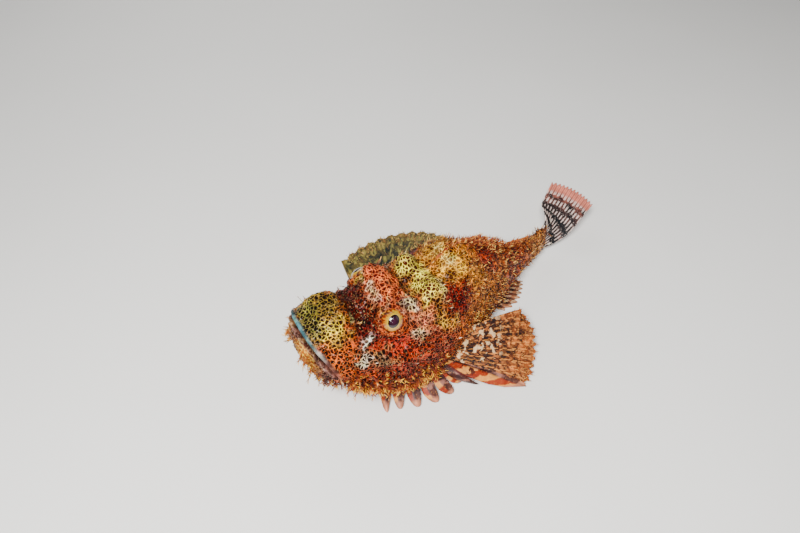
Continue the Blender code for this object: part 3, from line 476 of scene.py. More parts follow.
# centre, reach (back, out, up), line colour, cell colour, how clear the net is, strength
PATCHES = {
    "rear flank": ((112, 8, 8), (42, 22, 24), (196, 96, 34), (84, 22, 10), 0.9, 1.0),
    "shoulder base": ((84, 10, 20), (20, 20, 18), (230, 146, 44), (110, 38, 10), 0.9, 1.0),
    "red rear back": ((98, 4, 26), (8, 10, 8), (196, 66, 20), (96, 18, 8), 0.9, 0.9),
    "gold lower flank": ((92, 18, 4), (12, 8, 9), (214, 140, 50), (90, 34, 12), 0.9, 0.8),
    "belly": ((70, 0, -26), (60, 20, 9), (222, 156, 108), (150, 78, 48), 0.8, 1.0),
    "tail stalk": ((154, 0, 0), (14, 9, 12), (214, 146, 84), (90, 40, 22), 0.8, 1.0),
    "cheek": ((36, 22, 0), (20, 9, 12), (198, 88, 30), (96, 20, 8), 1.0, 1.0),
    "red cheek": ((39, 20, 8), (9, 7, 5), (206, 66, 10), (104, 12, 4), 0.9, 1.0),
    "low cheek": ((46, 26, -4), (12, 7, 7), (176, 66, 18), (80, 14, 6), 0.95, 1.0),
    "grey ridge": ((30, 22, 3), (7, 5, 2.6), (158, 128, 98), (70, 42, 34), 1.0, 0.9),
    "orange jaw plate": ((13, 16, 2), (10, 8, 8), (214, 114, 28), (98, 26, 8), 1.0, 1.0),
    "yellow snout": ((8.5, 9.5, 16), (6.5, 5.5, 6), (238, 200, 76), (110, 44, 12), 1.0, 1.0),
    # painted shade: the snout's net colours are turned dark green on its tip and top for the shade lying
    # there
    "shaded snout tip": ((2, 2, 13), (5, 8, 5), (150, 146, 84), (58, 44, 26), 1.0, 0.9),
    "shaded snout back": ((9, 0, 21), (8, 5, 5), (150, 134, 62), (50, 34, 16), 1.0, 0.85),
    # painted shade: the hollow before the eye is dark red brown for the shade that fills it
    "shade in the hollow before the eye": ((24.5, 7, 17), (6.5, 9, 8), (122, 44, 28), (34, 8, 6), 0.9, 1.0),
    "purple under the eye": ((28, 15, 12), (7, 5, 5), (138, 46, 36), (50, 12, 12), 0.9, 0.95),
    "forehead": ((35, 4, 28), (7.5, 8.5, 7), (244, 136, 80), (184, 44, 16), 1.0, 1.0),
    "forehead rim": ((28.2, 5, 26.5), (1.5, 7, 3.0), (250, 214, 180), (150, 80, 50), 0.9, 0.9),
    "green brow": ((30.0, 10.0, 23.0), (2.2, 2.6, 3.0), (214, 200, 96), (132, 90, 30), 0.9, 0.95),
    # painted shade: the groove behind the brows is darker for the shade that falls in it
    "groove": ((48, 5, 24), (4, 9, 6), (160, 76, 48), (72, 22, 16), 0.9, 0.9),
    "white net behind the eye": ((42.5, 14, 25), (3.6, 3.4, 5), (244, 218, 190), (96, 30, 20), 1.0, 0.9),
    "nape": ((57, 7, 29), (6.5, 9, 7), (250, 228, 104), (150, 60, 14), 1.0, 1.0),
    "white nape edge": ((62.5, 12, 27), (1.6, 5, 5), (255, 240, 180), (150, 80, 40), 1.0, 0.85),
    "pink temple": ((50, 18, 18), (4, 4, 5), (240, 158, 124), (150, 46, 26), 0.9, 0.9),
    "spotted cheek": ((46.5, 21.5, 12), (3.2, 4, 2.8), (232, 216, 180), (50, 26, 22), 1.0, 0.95),
    "pink gill flap": ((56, 24, 12.5), (5.0, 5, 2.6), (244, 140, 106), (206, 84, 56), 0.6, 1.0),
    "gill cover rear": ((61, 24, 18), (5, 6, 6), (230, 190, 84), (122, 44, 18), 1.0, 0.9),
    "gill cover": ((53, 25, 4), (9, 8, 8), (180, 78, 26), (88, 18, 8), 0.95, 0.8),
    "white net on the cheek": ((21.6, 20.4, 3.6), (2.3, 4, 2.2), (244, 232, 208), (84, 36, 22), 1.0, 0.9),
    "white tassel root": ((22.2, 16.4, 9.4), (1.5, 2, 2.2), (250, 244, 230), (150, 96, 66), 0.9, 1.0),
    "nostril skin": ((17.7, 7.1, 17.6), (2.0, 2.0, 2.2), (240, 230, 180), (150, 112, 60), 0.8, 1.0),
    "bright shoulder": ((73, 6, 31), (6.5, 7, 6), (252, 196, 72), (196, 100, 20), 0.85, 1.0),
    # painted highlight: a small pale yellow spot on top of the shoulder
    "painted shoulder highlight": ((72.5, 3.5, 33), (2.2, 2.2, 2.0), (255, 232, 150), (236, 160, 50), 0.8, 1.0),
    "dark shoulder side": ((69.5, 18, 20), (7.5, 7, 8), (150, 40, 16), (74, 12, 6), 0.9, 1.0),
    "yellow flank": ((84, 14, 24), (6, 5, 5), (236, 166, 64), (150, 66, 20), 0.85, 0.9),
}
BASE_LINE, BASE_CELL = (206, 104, 40), (92, 26, 12)
LINE_DEPTH, CELL_DEPTH = 0.92, 0.14
LINE_GAMMA, CELL_GAMMA, PATCH_WANDER = 1.4, 1.2, 1.5


def brush(places):
    """Line colour, cell colour and net strength at straight places of the fish."""
    flat = places.reshape(-1, 3)
    wander = np.stack([waves(flat, 7.0, s, 8) + 0.5 * waves(flat, 3.0, s + 3, 8) for s in (21, 22, 23)], -1)
    flat = flat * np.where(flat[:, 1:2] < 0, [1, -1, 1], [1, 1, 1]) + PATCH_WANDER * wander
    line = np.tile(paint(*BASE_LINE), (len(flat), 1))
    cell = np.tile(paint(*BASE_CELL), (len(flat), 1))
    net = np.full(len(flat), 0.9)
    for centre, reach, line_rgb, cell_rgb, clear, strength in PATCHES.values():
        far = (((flat - np.array(centre)) / np.array(reach)) ** 2).sum(-1)
        share = strength * smooth_step(1.55 * np.exp(-far * 0.8))
        line += share[:, None] * (paint(*line_rgb) - line)
        cell += share[:, None] * (paint(*cell_rgb) - cell)
        net += share * (clear - net)
    line, cell = line**LINE_GAMMA * LINE_DEPTH, cell**CELL_GAMMA * CELL_DEPTH
    return [v.reshape(places.shape[:-1] + v.shape[1:]) for v in (line, cell, net)]


line_colour, cell_colour, netting = brush(grid_straight)


def lay_over(mask, line_rgb, cell_rgb, clear):
    """Lays one finish over the stored colours where a mask says so."""
    line_colour[...] += mask[..., None] * (paint(*line_rgb) - line_colour)
    cell_colour[...] += mask[..., None] * (paint(*cell_rgb) - cell_colour)
    netting[...] += mask * (clear - netting)


grid_back, grid_out, grid_up = np.moveaxis(grid_straight, -1, 0)
below_gape = smooth_step((gape_height(grid_back) - grid_up) * 0.55) * smooth_step((13 - grid_along) / 4)
# painted shade: the lower jaw below the gape is its reddish brown colour darkened for the shade under the
# head
lay_over(below_gape, (112, 48, 28), (28, 10, 10), 0.9)
yellow_chin = below_gape * bell(grid_back - 1.5, 4) * bell(np.abs(grid_out) - 7, 5)
lay_over(np.clip(1.5 * yellow_chin, 0, 1), (226, 166, 50), (150, 70, 20), 0.8)
lay_over(0.85 * chin_mask, (150, 108, 96), (52, 24, 26), 0.6)
lip_run = smooth_step((grid_along + 1) / 9)[..., None]
lip_line = paint(72, 116, 122) * (1 - lip_run) + paint(110, 62, 52) * lip_run
lip_line = lip_line + (paint(170, 162, 150) - lip_line) * bell(lip_run - 0.5, 0.22)
line_colour += lip_mask[..., None] * (lip_line - line_colour)
cell_colour += lip_mask[..., None] * (lip_line * 0.75 - cell_colour)
netting *= 1 - lip_mask
# painted shade: the mouth's groove is near black for the shade inside the crease between the lips
lay_over(groove_mask, (30, 10, 10), (18, 6, 6), 0.0)
lay_over(0.8 * lid_mask, (176, 74, 24), (70, 18, 8), 0.9)
print("brushed", len(PATCHES), "patches")

# %% [markdown]
# ## Where the tassels grow
# Tassels stand close together along the lower edge of the head, the back and the flanks, and thinly
# elsewhere.
# Their density, size and the direction that they lie in are stored on the skin as attributes, for
# the Geometry Nodes tree to read.

# %% Store density, size and lay of the tassels
degrees = np.degrees(np.arcsin(np.sin(grid_turn)))
fringe = bell(degrees + 22, 16) * smooth_step((grid_along - 12) / 6) * smooth_step((66 - grid_along) / 12)
jaw_beard = bell(degrees + 42, 20) * smooth_step((14 - grid_along) / 4) * (grid_along > -1)
back_edge = bell(degrees - 84, 20) * smooth_step((grid_along - 62) / 10)
flank = bell(degrees - 25, 42) * smooth_step((grid_along - 66) / 8)
patchy = smooth_step(0.5 + 0.9 * waves(ground, 7, 31).reshape(grid_along.shape))
bare = smooth_step((degrees + 72) / 22) * (1 - np.clip(lip_mask + groove_mask + chin_mask * 0.8, 0, 1))
bare *= (1 - np.clip(1.6 * lid_mask, 0, 1)) * (skin_points[..., 2] > 2.0)
for side in (1, -1):
    bare *= np.linalg.norm(skin_points - eye_frame(side)[0], axis=-1) > EYE_RADIUS + 0.4
density = (0.9 * back_edge * (0.4 + patchy) + 0.9 * flank * (0.3 + patchy)) * bare
fringe_density = (fringe + 0.5 * jaw_beard) * bare
head_density = (0.25 + patchy) * smooth_step((68 - grid_along) / 6) * bare
size = 0.62 + 0.5 * fringe + 0.2 * jaw_beard + 0.30 * back_edge + 0.25 * flank
outward = grid_normals(skin_points, centre_line)
rearward = unit(np.gradient(skin_points, axis=0))
lean = (0.9 * flank + 0.9 * back_edge + 0.25)[..., None]
droop = (0.75 * (fringe + jaw_beard))[..., None]
lay = unit(outward + rearward * lean - np.array([0, 0, 1.0]) * droop)
print("mean density", round(float(density.mean()), 3))

# %% Make the skin's mesh


def grid_faces(rows, columns, wrap):
    """Quads of a grid, closed round if wrap is true."""
    number = np.arange(rows * columns).reshape(rows, columns)
    if wrap:
        number = np.concatenate([number, number[:, :1]], 1)
    corners = number[:-1, :-1], number[:-1, 1:], number[1:, 1:], number[1:, :-1]
    return np.stack(corners, -1).reshape(-1, 4)


def new_object(name, data):
    obj = bpy.data.objects.new(name, data)
    bpy.context.scene.collection.objects.link(obj)
    return obj


def make_mesh(name, points_mm, faces):
    """A mesh object at the origin, with smooth faces turned outwards."""
    mesh = bpy.data.meshes.new(name)
    mesh.from_pydata((np.asarray(points_mm, float) * MM).tolist(), [], [list(f) for f in faces])
    obj = new_object(name, mesh)
    bm = bmesh.new()
    bm.from_mesh(mesh)
    bmesh.ops.recalc_face_normals(bm, faces=bm.faces)
    if bm.calc_volume(signed=True) < 0:
        bmesh.ops.reverse_faces(bm, faces=bm.faces)
    bm.to_mesh(mesh)
    bm.free()
    mesh.polygons.foreach_set("use_smooth", [True] * len(mesh.polygons))
    return obj


def read(mesh, name, width):
    """Reads a point attribute into an array."""
    values = np.zeros(len(mesh.vertices) * width, np.float32)
    mesh.attributes[name].data.foreach_get({1: "value", 3: "vector"}[width], values)
    return values.reshape(-1, width)


def store(obj, name, values, kind):
    """Stores one value, direction or colour for every point of a mesh."""
    attribute = obj.data.attributes.new(name, kind, "POINT")
    values = np.asarray(values, float)
    if kind == "FLOAT_COLOR":
        values = np.concatenate([values, np.ones(values.shape[:-1] + (1,))], -1)
    field = {"FLOAT": "value", "FLOAT_VECTOR": "vector", "FLOAT_COLOR": "color"}[kind]
    attribute.data.foreach_set(field, values.astype(np.float32).ravel())


rings = len(skin_points)
faces = grid_faces(rings, AROUND, True).tolist()
for first, end_point in ((0, rings * AROUND), ((rings - 1) * AROUND, rings * AROUND + 1)):
    faces += [[first + j, first + (j + 1) % AROUND, end_point] for j in range(AROUND)]
ends = [skin_points[0].mean(0), skin_points[-1].mean(0)]
skin = make_mesh("skin", np.concatenate([skin_points.reshape(-1, 3), ends]), faces)


def with_ends(grid):
    """Flattens a grid of values and repeats the first and last for the two end points."""
    flat = grid.reshape(rings * AROUND, -1)
    return np.concatenate([flat, flat[:1], flat[-1:]])


ring_share = np.linspace(0, 1, rings)[:, None] * np.ones(AROUND)
unwrap = np.stack([0.01 + 0.48 * ring_share, 0.01 + 0.97 * grid_turn / (2 * math.pi), 0 * ring_share], -1)
for label, grid, kind in (
        ("line_colour", line_colour, "FLOAT_COLOR"), ("cell_colour", cell_colour, "FLOAT_COLOR"),
        ("netting", netting, "FLOAT"), ("density", density, "FLOAT"), ("size", size, "FLOAT"),
        ("lay", lay, "FLOAT_VECTOR"), ("unwrap", unwrap, "FLOAT_VECTOR")):
    store(skin, label, with_ends(grid), kind)
print("skin has", len(skin.data.polygons), "faces")

# %% [markdown]
# ## Node groups for the finishes
# Three effects are kept in shader node groups with named inputs: the skin's net of lines round
# cells, a mottle of soft patches and small flecks, and the bars of a fin. A group only
# puts out masks. Each material mixes its own colours with them and holds its own Principled shader.

# %% Helpers for nodes


class Value:
    """A node's output. Sums and products of values add the nodes that work them out."""

    def __init__(self, socket):
        self.socket, self.tree = socket, socket.id_data

    def __add__(self, other):
        return maths("ADD", self, other)

    def __sub__(self, other):
        return maths("SUBTRACT", self, other)

    def __rsub__(self, other):
        return maths("SUBTRACT", other, self)

    def __mul__(self, other):
        return maths("MULTIPLY", self, other)

    def __rtruediv__(self, other):
        return maths("DIVIDE", other, self)

    def scaled(self, share):
        """A direction or a colour, times a number."""
        return add(self.tree, "ShaderNodeVectorMath", {0: self, "Scale": share}, operation="SCALE")[0]

    def eased(self, low, high, start=0.0, end=1.0):
        """Eases from start to end while this value goes from low to high."""
        links = {"Value": self, "From Min": low, "From Max": high, "To Min": start, "To Max": end}
        return add(self.tree, "ShaderNodeMapRange", links, interpolation_type="SMOOTHSTEP")["Result"]


class Node:
    """A node whose outputs are read as values, by name or number."""

    def __init__(self, raw):
        self.raw = raw

    def __getitem__(self, key):
        return Value(self.raw.outputs[key])


def fill(socket, value):
    """Links a value to a socket, or sets the socket to a plain one."""
    if isinstance(value, Value):
        value.tree.links.new(value.socket, socket)
    else:
        socket.default_value = value


def add(tree, kind, links=None, **settings):
    """Adds a node, sets it up, and links or fills its inputs by name or number."""
    made = tree.nodes.new(kind)
    for key, value in settings.items():
        setattr(made, key, value)
    for key, value in (links or {}).items():
        fill(made.inputs[key], value)
    return Node(made)


def maths(operation, *terms, kind="ShaderNodeMath"):
    tree = next(term.tree for term in terms if isinstance(term, Value))
    return add(tree, kind, dict(enumerate(terms)), operation=operation)[0]


def directions(operation, *terms):
    """Reckons with directions or colours, channel by channel."""
    return maths(operation, *terms, kind="ShaderNodeVectorMath")


def noise(place, scale, detail, rough=0.5):
    links = {"Vector": place, "Scale": scale, "Detail": detail, "Roughness": rough}
    return add(place.tree, "ShaderNodeTexNoise", links)


def split(value):
    parts = add(value.tree, "ShaderNodeSeparateXYZ", {0: value})
    return parts[0], parts[1], parts[2]


def mix(share, a, b):
    """Mixes two colours."""
    return add(share.tree, "ShaderNodeMix", {0: share, 6: a, 7: b}, data_type="RGBA")[2]


def colour(*rgb):
    return (*paint(*rgb), 1.0)


SOCKET_KINDS = {float: "Float", bool: "Bool", int: "Int"}


def new_group(name, kind, inputs, outputs):
    """A node group's tree, input node and output sockets. An input states its first value or its kind."""
    group = bpy.data.node_groups.new(name, kind)
    for label, value in inputs.items():
        word = SOCKET_KINDS.get(type(value), value)
        made = group.interface.new_socket(label, in_out="INPUT", socket_type="NodeSocket" + word)
        if type(value) in SOCKET_KINDS:
            made.default_value = value
    for label, word in outputs.items():
        group.interface.new_socket(label, in_out="OUTPUT", socket_type="NodeSocket" + word)
    return group, Node(group.nodes.new("NodeGroupInput")), group.nodes.new("NodeGroupOutput").inputs


# %% The net group
net_group, enter, leave = new_group(
    "Net of Lines", "ShaderNodeTree",
    {"Vector": "Vector", "Cell Size": 0.0016, "Line Share": 0.2, "Wander": 0.5},
    {"Net": "Float", "Grain": "Float"})
in_cells = enter["Vector"].scaled(1.0 / enter["Cell Size"])
drift = directions("SUBTRACT", noise(in_cells, 0.55, 2.0)["Color"], (0.5, 0.5, 0.5)).scaled(enter["Wander"])
cells = add(net_group, "ShaderNodeTexVoronoi", {"Vector": directions("ADD", in_cells, drift), "Scale": 1.0},
            feature="DISTANCE_TO_EDGE")
width = (noise(in_cells, 0.4, 1.0)[0] * 1.5 + 0.3) * enter["Line Share"]
fill(leave["Net"], cells["Distance"].eased(0.02, width, 1.0, 0.0))
fill(leave["Grain"], noise(in_cells, 2.6, 4.0, 0.65)[0])
print("net group has", len(net_group.nodes), "nodes")

# %% The mottle group
mottle_group, enter, leave = new_group(
    "Mottle", "ShaderNodeTree",
    {"Vector": "Vector", "Patch Size": 0.006, "Fleck Size": 0.001, "Fleck Share": 0.3},
    {"Patches": "Float", "Flecks": "Float"})
big, small = [enter["Vector"].scaled(1.0 / enter[word]) for word in ("Patch Size", "Fleck Size")]
level = enter["Fleck Share"] * -0.36 + 0.72
fill(leave["Patches"], noise(big, 1.0, 4.0, 0.6)[0].eased(0.36, 0.64))
fill(leave["Flecks"], noise(small, 1.0, 2.0)[0].eased(level, level + 0.07))
print("mottle group has", len(mottle_group.nodes), "nodes")

# %% The barred fin group
bars_group, enter, leave = new_group(
    "Fin Bars", "ShaderNodeTree",
    {"Vector": "Vector", "Fan": "Vector", "Bars": 6.0, "Raggedness": 1.0, "Rays": 12.0},
    {"Bar": "Float", "Ridge": "Float", "Reach": "Float", "Across": "Float"})
across, reach, ridge = split(enter["Fan"])
each_ray = add(bars_group, "ShaderNodeTexNoise", {"W": across * enter["Rays"], "Scale": 0.9},
               noise_dimensions="1D")[0]
wobble = (noise(enter["Vector"], 260.0, 3.0)[0] - 0.5 + (each_ray - 0.5) * 0.9) * enter["Raggedness"]
wave = maths("SINE", (reach * enter["Bars"] + wobble) * (2 * math.pi))
outcome = {"Bar": wave.eased(-0.35, 0.35), "Ridge": ridge, "Reach": reach, "Across": across}
for label, value in outcome.items():
    fill(leave[label], value)
print("fin group has", len(bars_group.nodes), "nodes")

# %% [markdown]
# ## The skin's finish
# On the fish the net's lines stand slightly proud of the cells and shine a little more. The
# material mixes the two stored colours with the net, breaks them with mottle and flecks, and uses
# the same net for the bump and the gloss, so colour and relief belong together.

# %% Helpers for materials


def new_material(name, **sockets):
    """A material with its node tree and its shader's inputs."""
    material = bpy.data.materials.new(name)
    material.use_nodes = True
    shader = material.node_tree.nodes["Principled BSDF"].inputs
    for label, value in sockets.items():
        shader[label.replace("_", " ")].default_value = value
    return material, material.node_tree, shader


def object_place(tree):
    return add(tree, "ShaderNodeTexCoord")["Object"]


def stored(tree, name, field="Color"):
    return add(tree, "ShaderNodeAttribute", attribute_name=name)[field]


def use_group(group, place, **links):
    """A group's node at a place, with its inputs filled by name."""
    links = {label.replace("_", " "): value for label, value in links.items()}
    return add(place.tree, "ShaderNodeGroup", {"Vector": place, **links}, node_tree=group)


def finish_with_bump(shader, base, rough, height, distance):
    """Links colour, roughness and a bump to the shader of a material."""
    bump = add(base.tree, "ShaderNodeBump", {"Height": height, "Distance": distance, "Strength": 1.0})[0]
    for label, value in (("Base Color", base), ("Roughness", rough), ("Normal", bump)):
        fill(shader[label], value)


# %% Material of the skin
skin_material, tree, shader = new_material("netted skin", Specular_IOR_Level=0.06, Coat_Roughness=0.3)
place = object_place(tree)
net = use_group(net_group, place, Cell_Size=0.00175, Line_Share=0.17, Wander=0.8)
mottle = use_group(mottle_group, place, Patch_Size=0.0042, Fleck_Size=0.0009, Fleck_Share=0.33)
clear = stored(tree, "netting", "Fac")
share = net["Net"] * clear + (1.0 - clear) * mottle["Patches"] * 0.8
golden = noise(place, 230.0, 2.0)[0].eased(0.5, 0.62, 0.0, 0.8)
line = stored(tree, "line_colour")
line = mix(golden, line, directions("MULTIPLY", line, (1.25, 1.5, 0.9)))
# the grain's brightness speckle is partly random tone and partly painted wet glints
shade = maths("MAXIMUM", mottle["Patches"] * 0.9 + 0.5 + (net["Grain"] * 1.3 - 0.6), 0.1)
base = mix(share, stored(tree, "cell_colour"), line).scaled(shade)
base = mix(mottle["Flecks"] * (clear * 0.3), base, colour(236, 190, 130))
height = share * (clear * 0.8 + 0.1) + net["Grain"] * 0.5
fill(shader["Coat Weight"], share * 0.3)
finish_with_bump(shader, base, net["Net"] * -0.25 + 0.7, height, 0.0008)
skin.data.materials.append(skin_material)
print("skin material has", len(tree.nodes), "nodes")

# %% [markdown]
# ## Eyes
# The eye is a wet ball with a dark oval pupil in a yellow ring. The ball's own directions (across,
# up and along the line of sight) are stored on it, so the iris sits right wherever the eye turns.

# %% Build the eyeballs
PUPIL_TILT, PUPIL_HALF = math.radians(35), (0.37, 0.48, 1000.0)
CORNEA_RISE, CORNEA_REACH = 0.045, 0.12

# share of the way out from the pupil's middle, and the colour there; the lighter purple in the middle is a
# painted sheen
IRIS_STOPS = ((0.0, (52, 16, 36)), (0.30, (28, 8, 16)), (0.385, (16, 4, 8)), (0.402, (206, 170, 60)),
              (0.43, (158, 126, 0)), (0.57, (164, 100, 0)), (0.70, (110, 34, 2)), (1.0, (40, 8, 4)))


def eye_material():
    material, tree, shader = new_material(
        "wet eye", Specular_IOR_Level=0.3, Coat_Weight=0.8, Coat_Roughness=0.03)
    gaze = stored(tree, "gaze", "Vector")
    links = {"Vector": gaze, "Rotation": (0, 0, PUPIL_TILT), "Scale": PUPIL_HALF}
    oval = add(tree, "ShaderNodeMapping", links, vector_type="TEXTURE")[0]
    ring = add(tree, "ShaderNodeVectorMath", {0: oval}, operation="LENGTH")["Value"]
    right, up, _ = split(gaze)
    spoke = add(tree, "ShaderNodeCombineXYZ", {0: maths("ARCTAN2", up, right) * 3.2, 1: ring * 1.1})[0]
    flecks = noise(spoke, 1.7, 3.0)[0]
    ragged = ring + (flecks - 0.5) * ring.eased(1.0, 1.5, 0.0, 2.2)
    iris = add(tree, "ShaderNodeValToRGB", {0: ragged * 0.4})
    stops = iris.raw.color_ramp.elements
    while len(stops) < len(IRIS_STOPS):
        stops.new(0.5)
    for stop, (at, rgb) in zip(stops, IRIS_STOPS):
        stop.position = at
        stop.color = colour(*rgb)
    finish_with_bump(shader, iris[0], ring.eased(0.9, 1.1, 0.08, 0.3), flecks, 0.00008)
    return material


eye_finish = eye_material()
for name, side in (("eye_left", 1), ("eye_right", -1)):
    centre, across, rise, aim = eye_frame(side)
    bm = bmesh.new()
    bmesh.ops.create_uvsphere(bm, u_segments=72, v_segments=48, radius=1.0)
    ball = bpy.data.meshes.new(name + "_ball")
    bm.to_mesh(ball)
    bm.free()
    local = np.array([v.co for v in ball.vertices])
    cornea = 1 + CORNEA_RISE * np.exp(-((1 - local[:, 2:3]) / CORNEA_REACH) ** 2)
    world = centre + EYE_RADIUS * cornea * (local @ np.stack([across, rise, aim]))
    eye = make_mesh(name + "_ball", world, [list(p.vertices) for p in ball.polygons])
    store(eye, "gaze", local, "FLOAT_VECTOR")
    eye.data.materials.append(eye_finish)
    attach(eye, "root")
    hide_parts(name)
print("eyeballs", EYE_RADIUS * 2, "mm across")

# %% [markdown]
# ## Fins
# A fin is a sheet stretched over rays. Each fin's rule says where a point lies for a ray number and
# a share of the ray's length. The sheet is thick on the rays and thin between them, and it is cut
# back between the rays along its edge. Soft rays fork towards their tips, but spines don't.

# %% A fin from its rule
ROOT_DEPTH, FIN_CLEARANCE = 2.0, 0.5
RAY_WIDTH, FORK_FROM, FORK_SPREAD, LONGEST_AT = 0.115, 0.38, 0.21, 0.35
MEMBRANE_HALF, LEAST_RIDGE, FIN_FLOOR = 0.2, 0.06, 0.05


def ray_ridge(position, share, forked):
    """How strongly a point of the fin lies on a ray: 1 on its crest, 0 on the membrane."""
    off = position - np.round(position)
    fork = FORK_SPREAD * smooth_step((share - FORK_FROM) / (1 - FORK_FROM)) * forked
    return np.exp(-(((np.abs(off) - fork) / RAY_WIDTH) ** 2))


def fin_sheet(name, rule, rays, rows, per_ray, reach, ray_size, forked, start=0.0, past=0):
    """A closed fin with raised rays. Stores ray share, reach and ridge for its finish."""
    columns = (rays - 1) * per_ray + past + 1
    p, s = np.meshgrid(np.arange(columns) / per_ray, np.linspace(start, 1, rows))
    length = np.where(s > 0, s * reach(p), s)
    middle = rule(p, length)
    normal = unit(np.cross(np.gradient(middle, axis=0), np.gradient(middle, axis=1)))
    ridge = ray_ridge(p, length, forked(p))
    ray_half = ray_size(p) * 0.46 * (1 - 0.66 * np.clip(s, 0, 1))
    joints = 1 + 0.07 * np.sin(length * 95)
    half = MEMBRANE_HALF + np.maximum(ray_half - MEMBRANE_HALF, LEAST_RIDGE) * ridge * joints
    from_edge = np.minimum(np.minimum(p, p.max() - p) * per_ray / 1.5, (1 - s) * rows / 2)
    half = (half * np.minimum(1, from_edge * 0.7 + 0.3))[..., None]
    points = np.concatenate([middle + normal * half, middle - normal * half]).reshape(-1, 3)
    points[:, 2] = np.maximum(points[:, 2], FIN_FLOOR)
    other = p.size
    faces = grid_faces(rows, columns, False)
    number = np.arange(other).reshape(rows, columns)
    walls = [*number[0], *number[1:, -1], *number[-1, -2::-1], *number[-2:0:-1, 0]]
    edge = [[a, b, other + b, other + a] for a, b in zip(walls, walls[1:] + walls[:1])]
    fin = make_mesh(name, points, faces.tolist() + (faces[:, ::-1] + other).tolist() + edge)
    fan = np.stack([p / (rays - 1), np.clip(length, 0, 1), ridge], -1).reshape(-1, 3)
    store(fin, "fan", np.concatenate([fan, fan]), "FLOAT_VECTOR")
    return fin, middle


def bump_line(share, first, longest, last):
    """A length that grows from first to longest at the longest ray and falls to last."""
    quarter = 0.5 * math.pi
    rise = between((first, longest), np.sin(quarter * np.clip(share / LONGEST_AT, 0, 1)))
    fall = between((last, longest), np.cos(quarter * np.clip((share - LONGEST_AT) / (1 - LONGEST_AT), 0, 1)))
    return np.where(share < LONGEST_AT, rise, fall)


def arc(root, tip, rise, share, aside=0.0):
    """A bowed line from root to tip, raised and moved aside in its middle."""
    middle = (root + tip) / 2 + rise[..., None] * np.array([0, 0, 1.0]) + aside
    share = share[..., None]
    return (1 - share) ** 2 * root + 2 * share * (1 - share) * middle + share * share * tip


print("a ray's crest reads", float(ray_ridge(np.array(3.0), np.array(0.1), 1.0).round(2)))

# %% Rules of the dorsal, anal and tail fins


def back_slope(along):
    ends = body_straight(np.stack([along, along + 18.0]), math.radians(90))
    return np.arctan2(ends[1, ..., 2] - ends[0, ..., 2], ends[1, ..., 0] - ends[0, ..., 0])


def dorsal_rule(rays, base, lengths, rake):
    def rule(p, s):
        run = p / (rays - 1)
        along = between(base, run)
        slope = np.radians(between(rake, run)) + back_slope(along)
        reach = (bump_line(run, *lengths) + ROOT_DEPTH) * s - ROOT_DEPTH
        root = body_straight(along, math.radians(90))
        return bend(root + np.stack([reach * np.cos(slope), 0 * reach, reach * np.sin(slope)], -1))
    return rule


ANAL_RAYS = 8


def anal_rule(p, s):
    run = p / (ANAL_RAYS - 1)
    root = on_skin(112 + 18 * run, -74, -ROOT_DEPTH)
    length = bump_line(run, 9, 13, 10) + ROOT_DEPTH
    tip = root + swept(121, 55 - 39 * run) * length[..., None]
    tip[..., 2] = FIN_CLEARANCE
    return arc(root, tip, 0 * run, s)


CAUDAL_RAYS, CAUDAL_LENGTH, CAUDAL_SPREAD, CAUDAL_ROLL = 13, 48.0, 14.0, math.radians(82)
CAUDAL_CURL, CAUDAL_RISE, STALK_FACE_HALF = 1.0, 12.0, 8.3


def caudal_rule(p, s):
    across = 2 * p / (CAUDAL_RAYS - 1) - 1
    opened = np.clip(s, 0, 1)
    half = STALK_FACE_HALF + (CAUDAL_SPREAD - STALK_FACE_HALF) * (1.3 * opened - 0.3 * opened**2)
    roll = CAUDAL_ROLL * smooth_step(opened * 1.5)
    out = across * half
    return bend(np.stack([STANDARD_LENGTH + 0.3 + CAUDAL_LENGTH * (1 - 0.10 * across**2) * s,
                          out * np.sin(roll) - CAUDAL_CURL * opened**2,
                          CAUDAL_RISE * opened - out * np.cos(roll)], -1))


print("tail fin", CAUDAL_LENGTH, "mm long")

# %% Rules of the paired fins
PECTORAL_RAYS, THICK_RAYS, PELVIC_RAYS = 18, 6, 6
LAST_THIN = PECTORAL_RAYS - THICK_RAYS - 1
FIN_ALONG, BASE_ALONG, BASE_TURN, PELVIC_LENGTH = 72.0, (73.0, 62.0), (4.0, -54.0), 34.0

# for the fan and the thick rays, left (1) and right (-1): sweep in degrees, heights and lengths in mm
FAN_SWEEP = {1: (4.0, 50.0), -1: (10.0, 96.0)}
TIP_HEIGHTS = {1: (17.0, 0.5), -1: (29.0, 16.0)}
FAN_LENGTHS = {1: (38.0, 43.0, 41.0), -1: (35.0, 40.0, 39.0)}
THICK_SWEEP = {1: (66.0, 166.0), -1: (112.0, 164.0)}
THICK_LENGTHS, THICK_CURL, THICK_TIP_HEIGHT = (11.0, 30.0), {1: 0.56, -1: 0.42}, 1.1
BLADE_PAST, BLADE_TURN = 4, 19.0  # the foremost blade: columns ahead of its ray, and degrees per ray


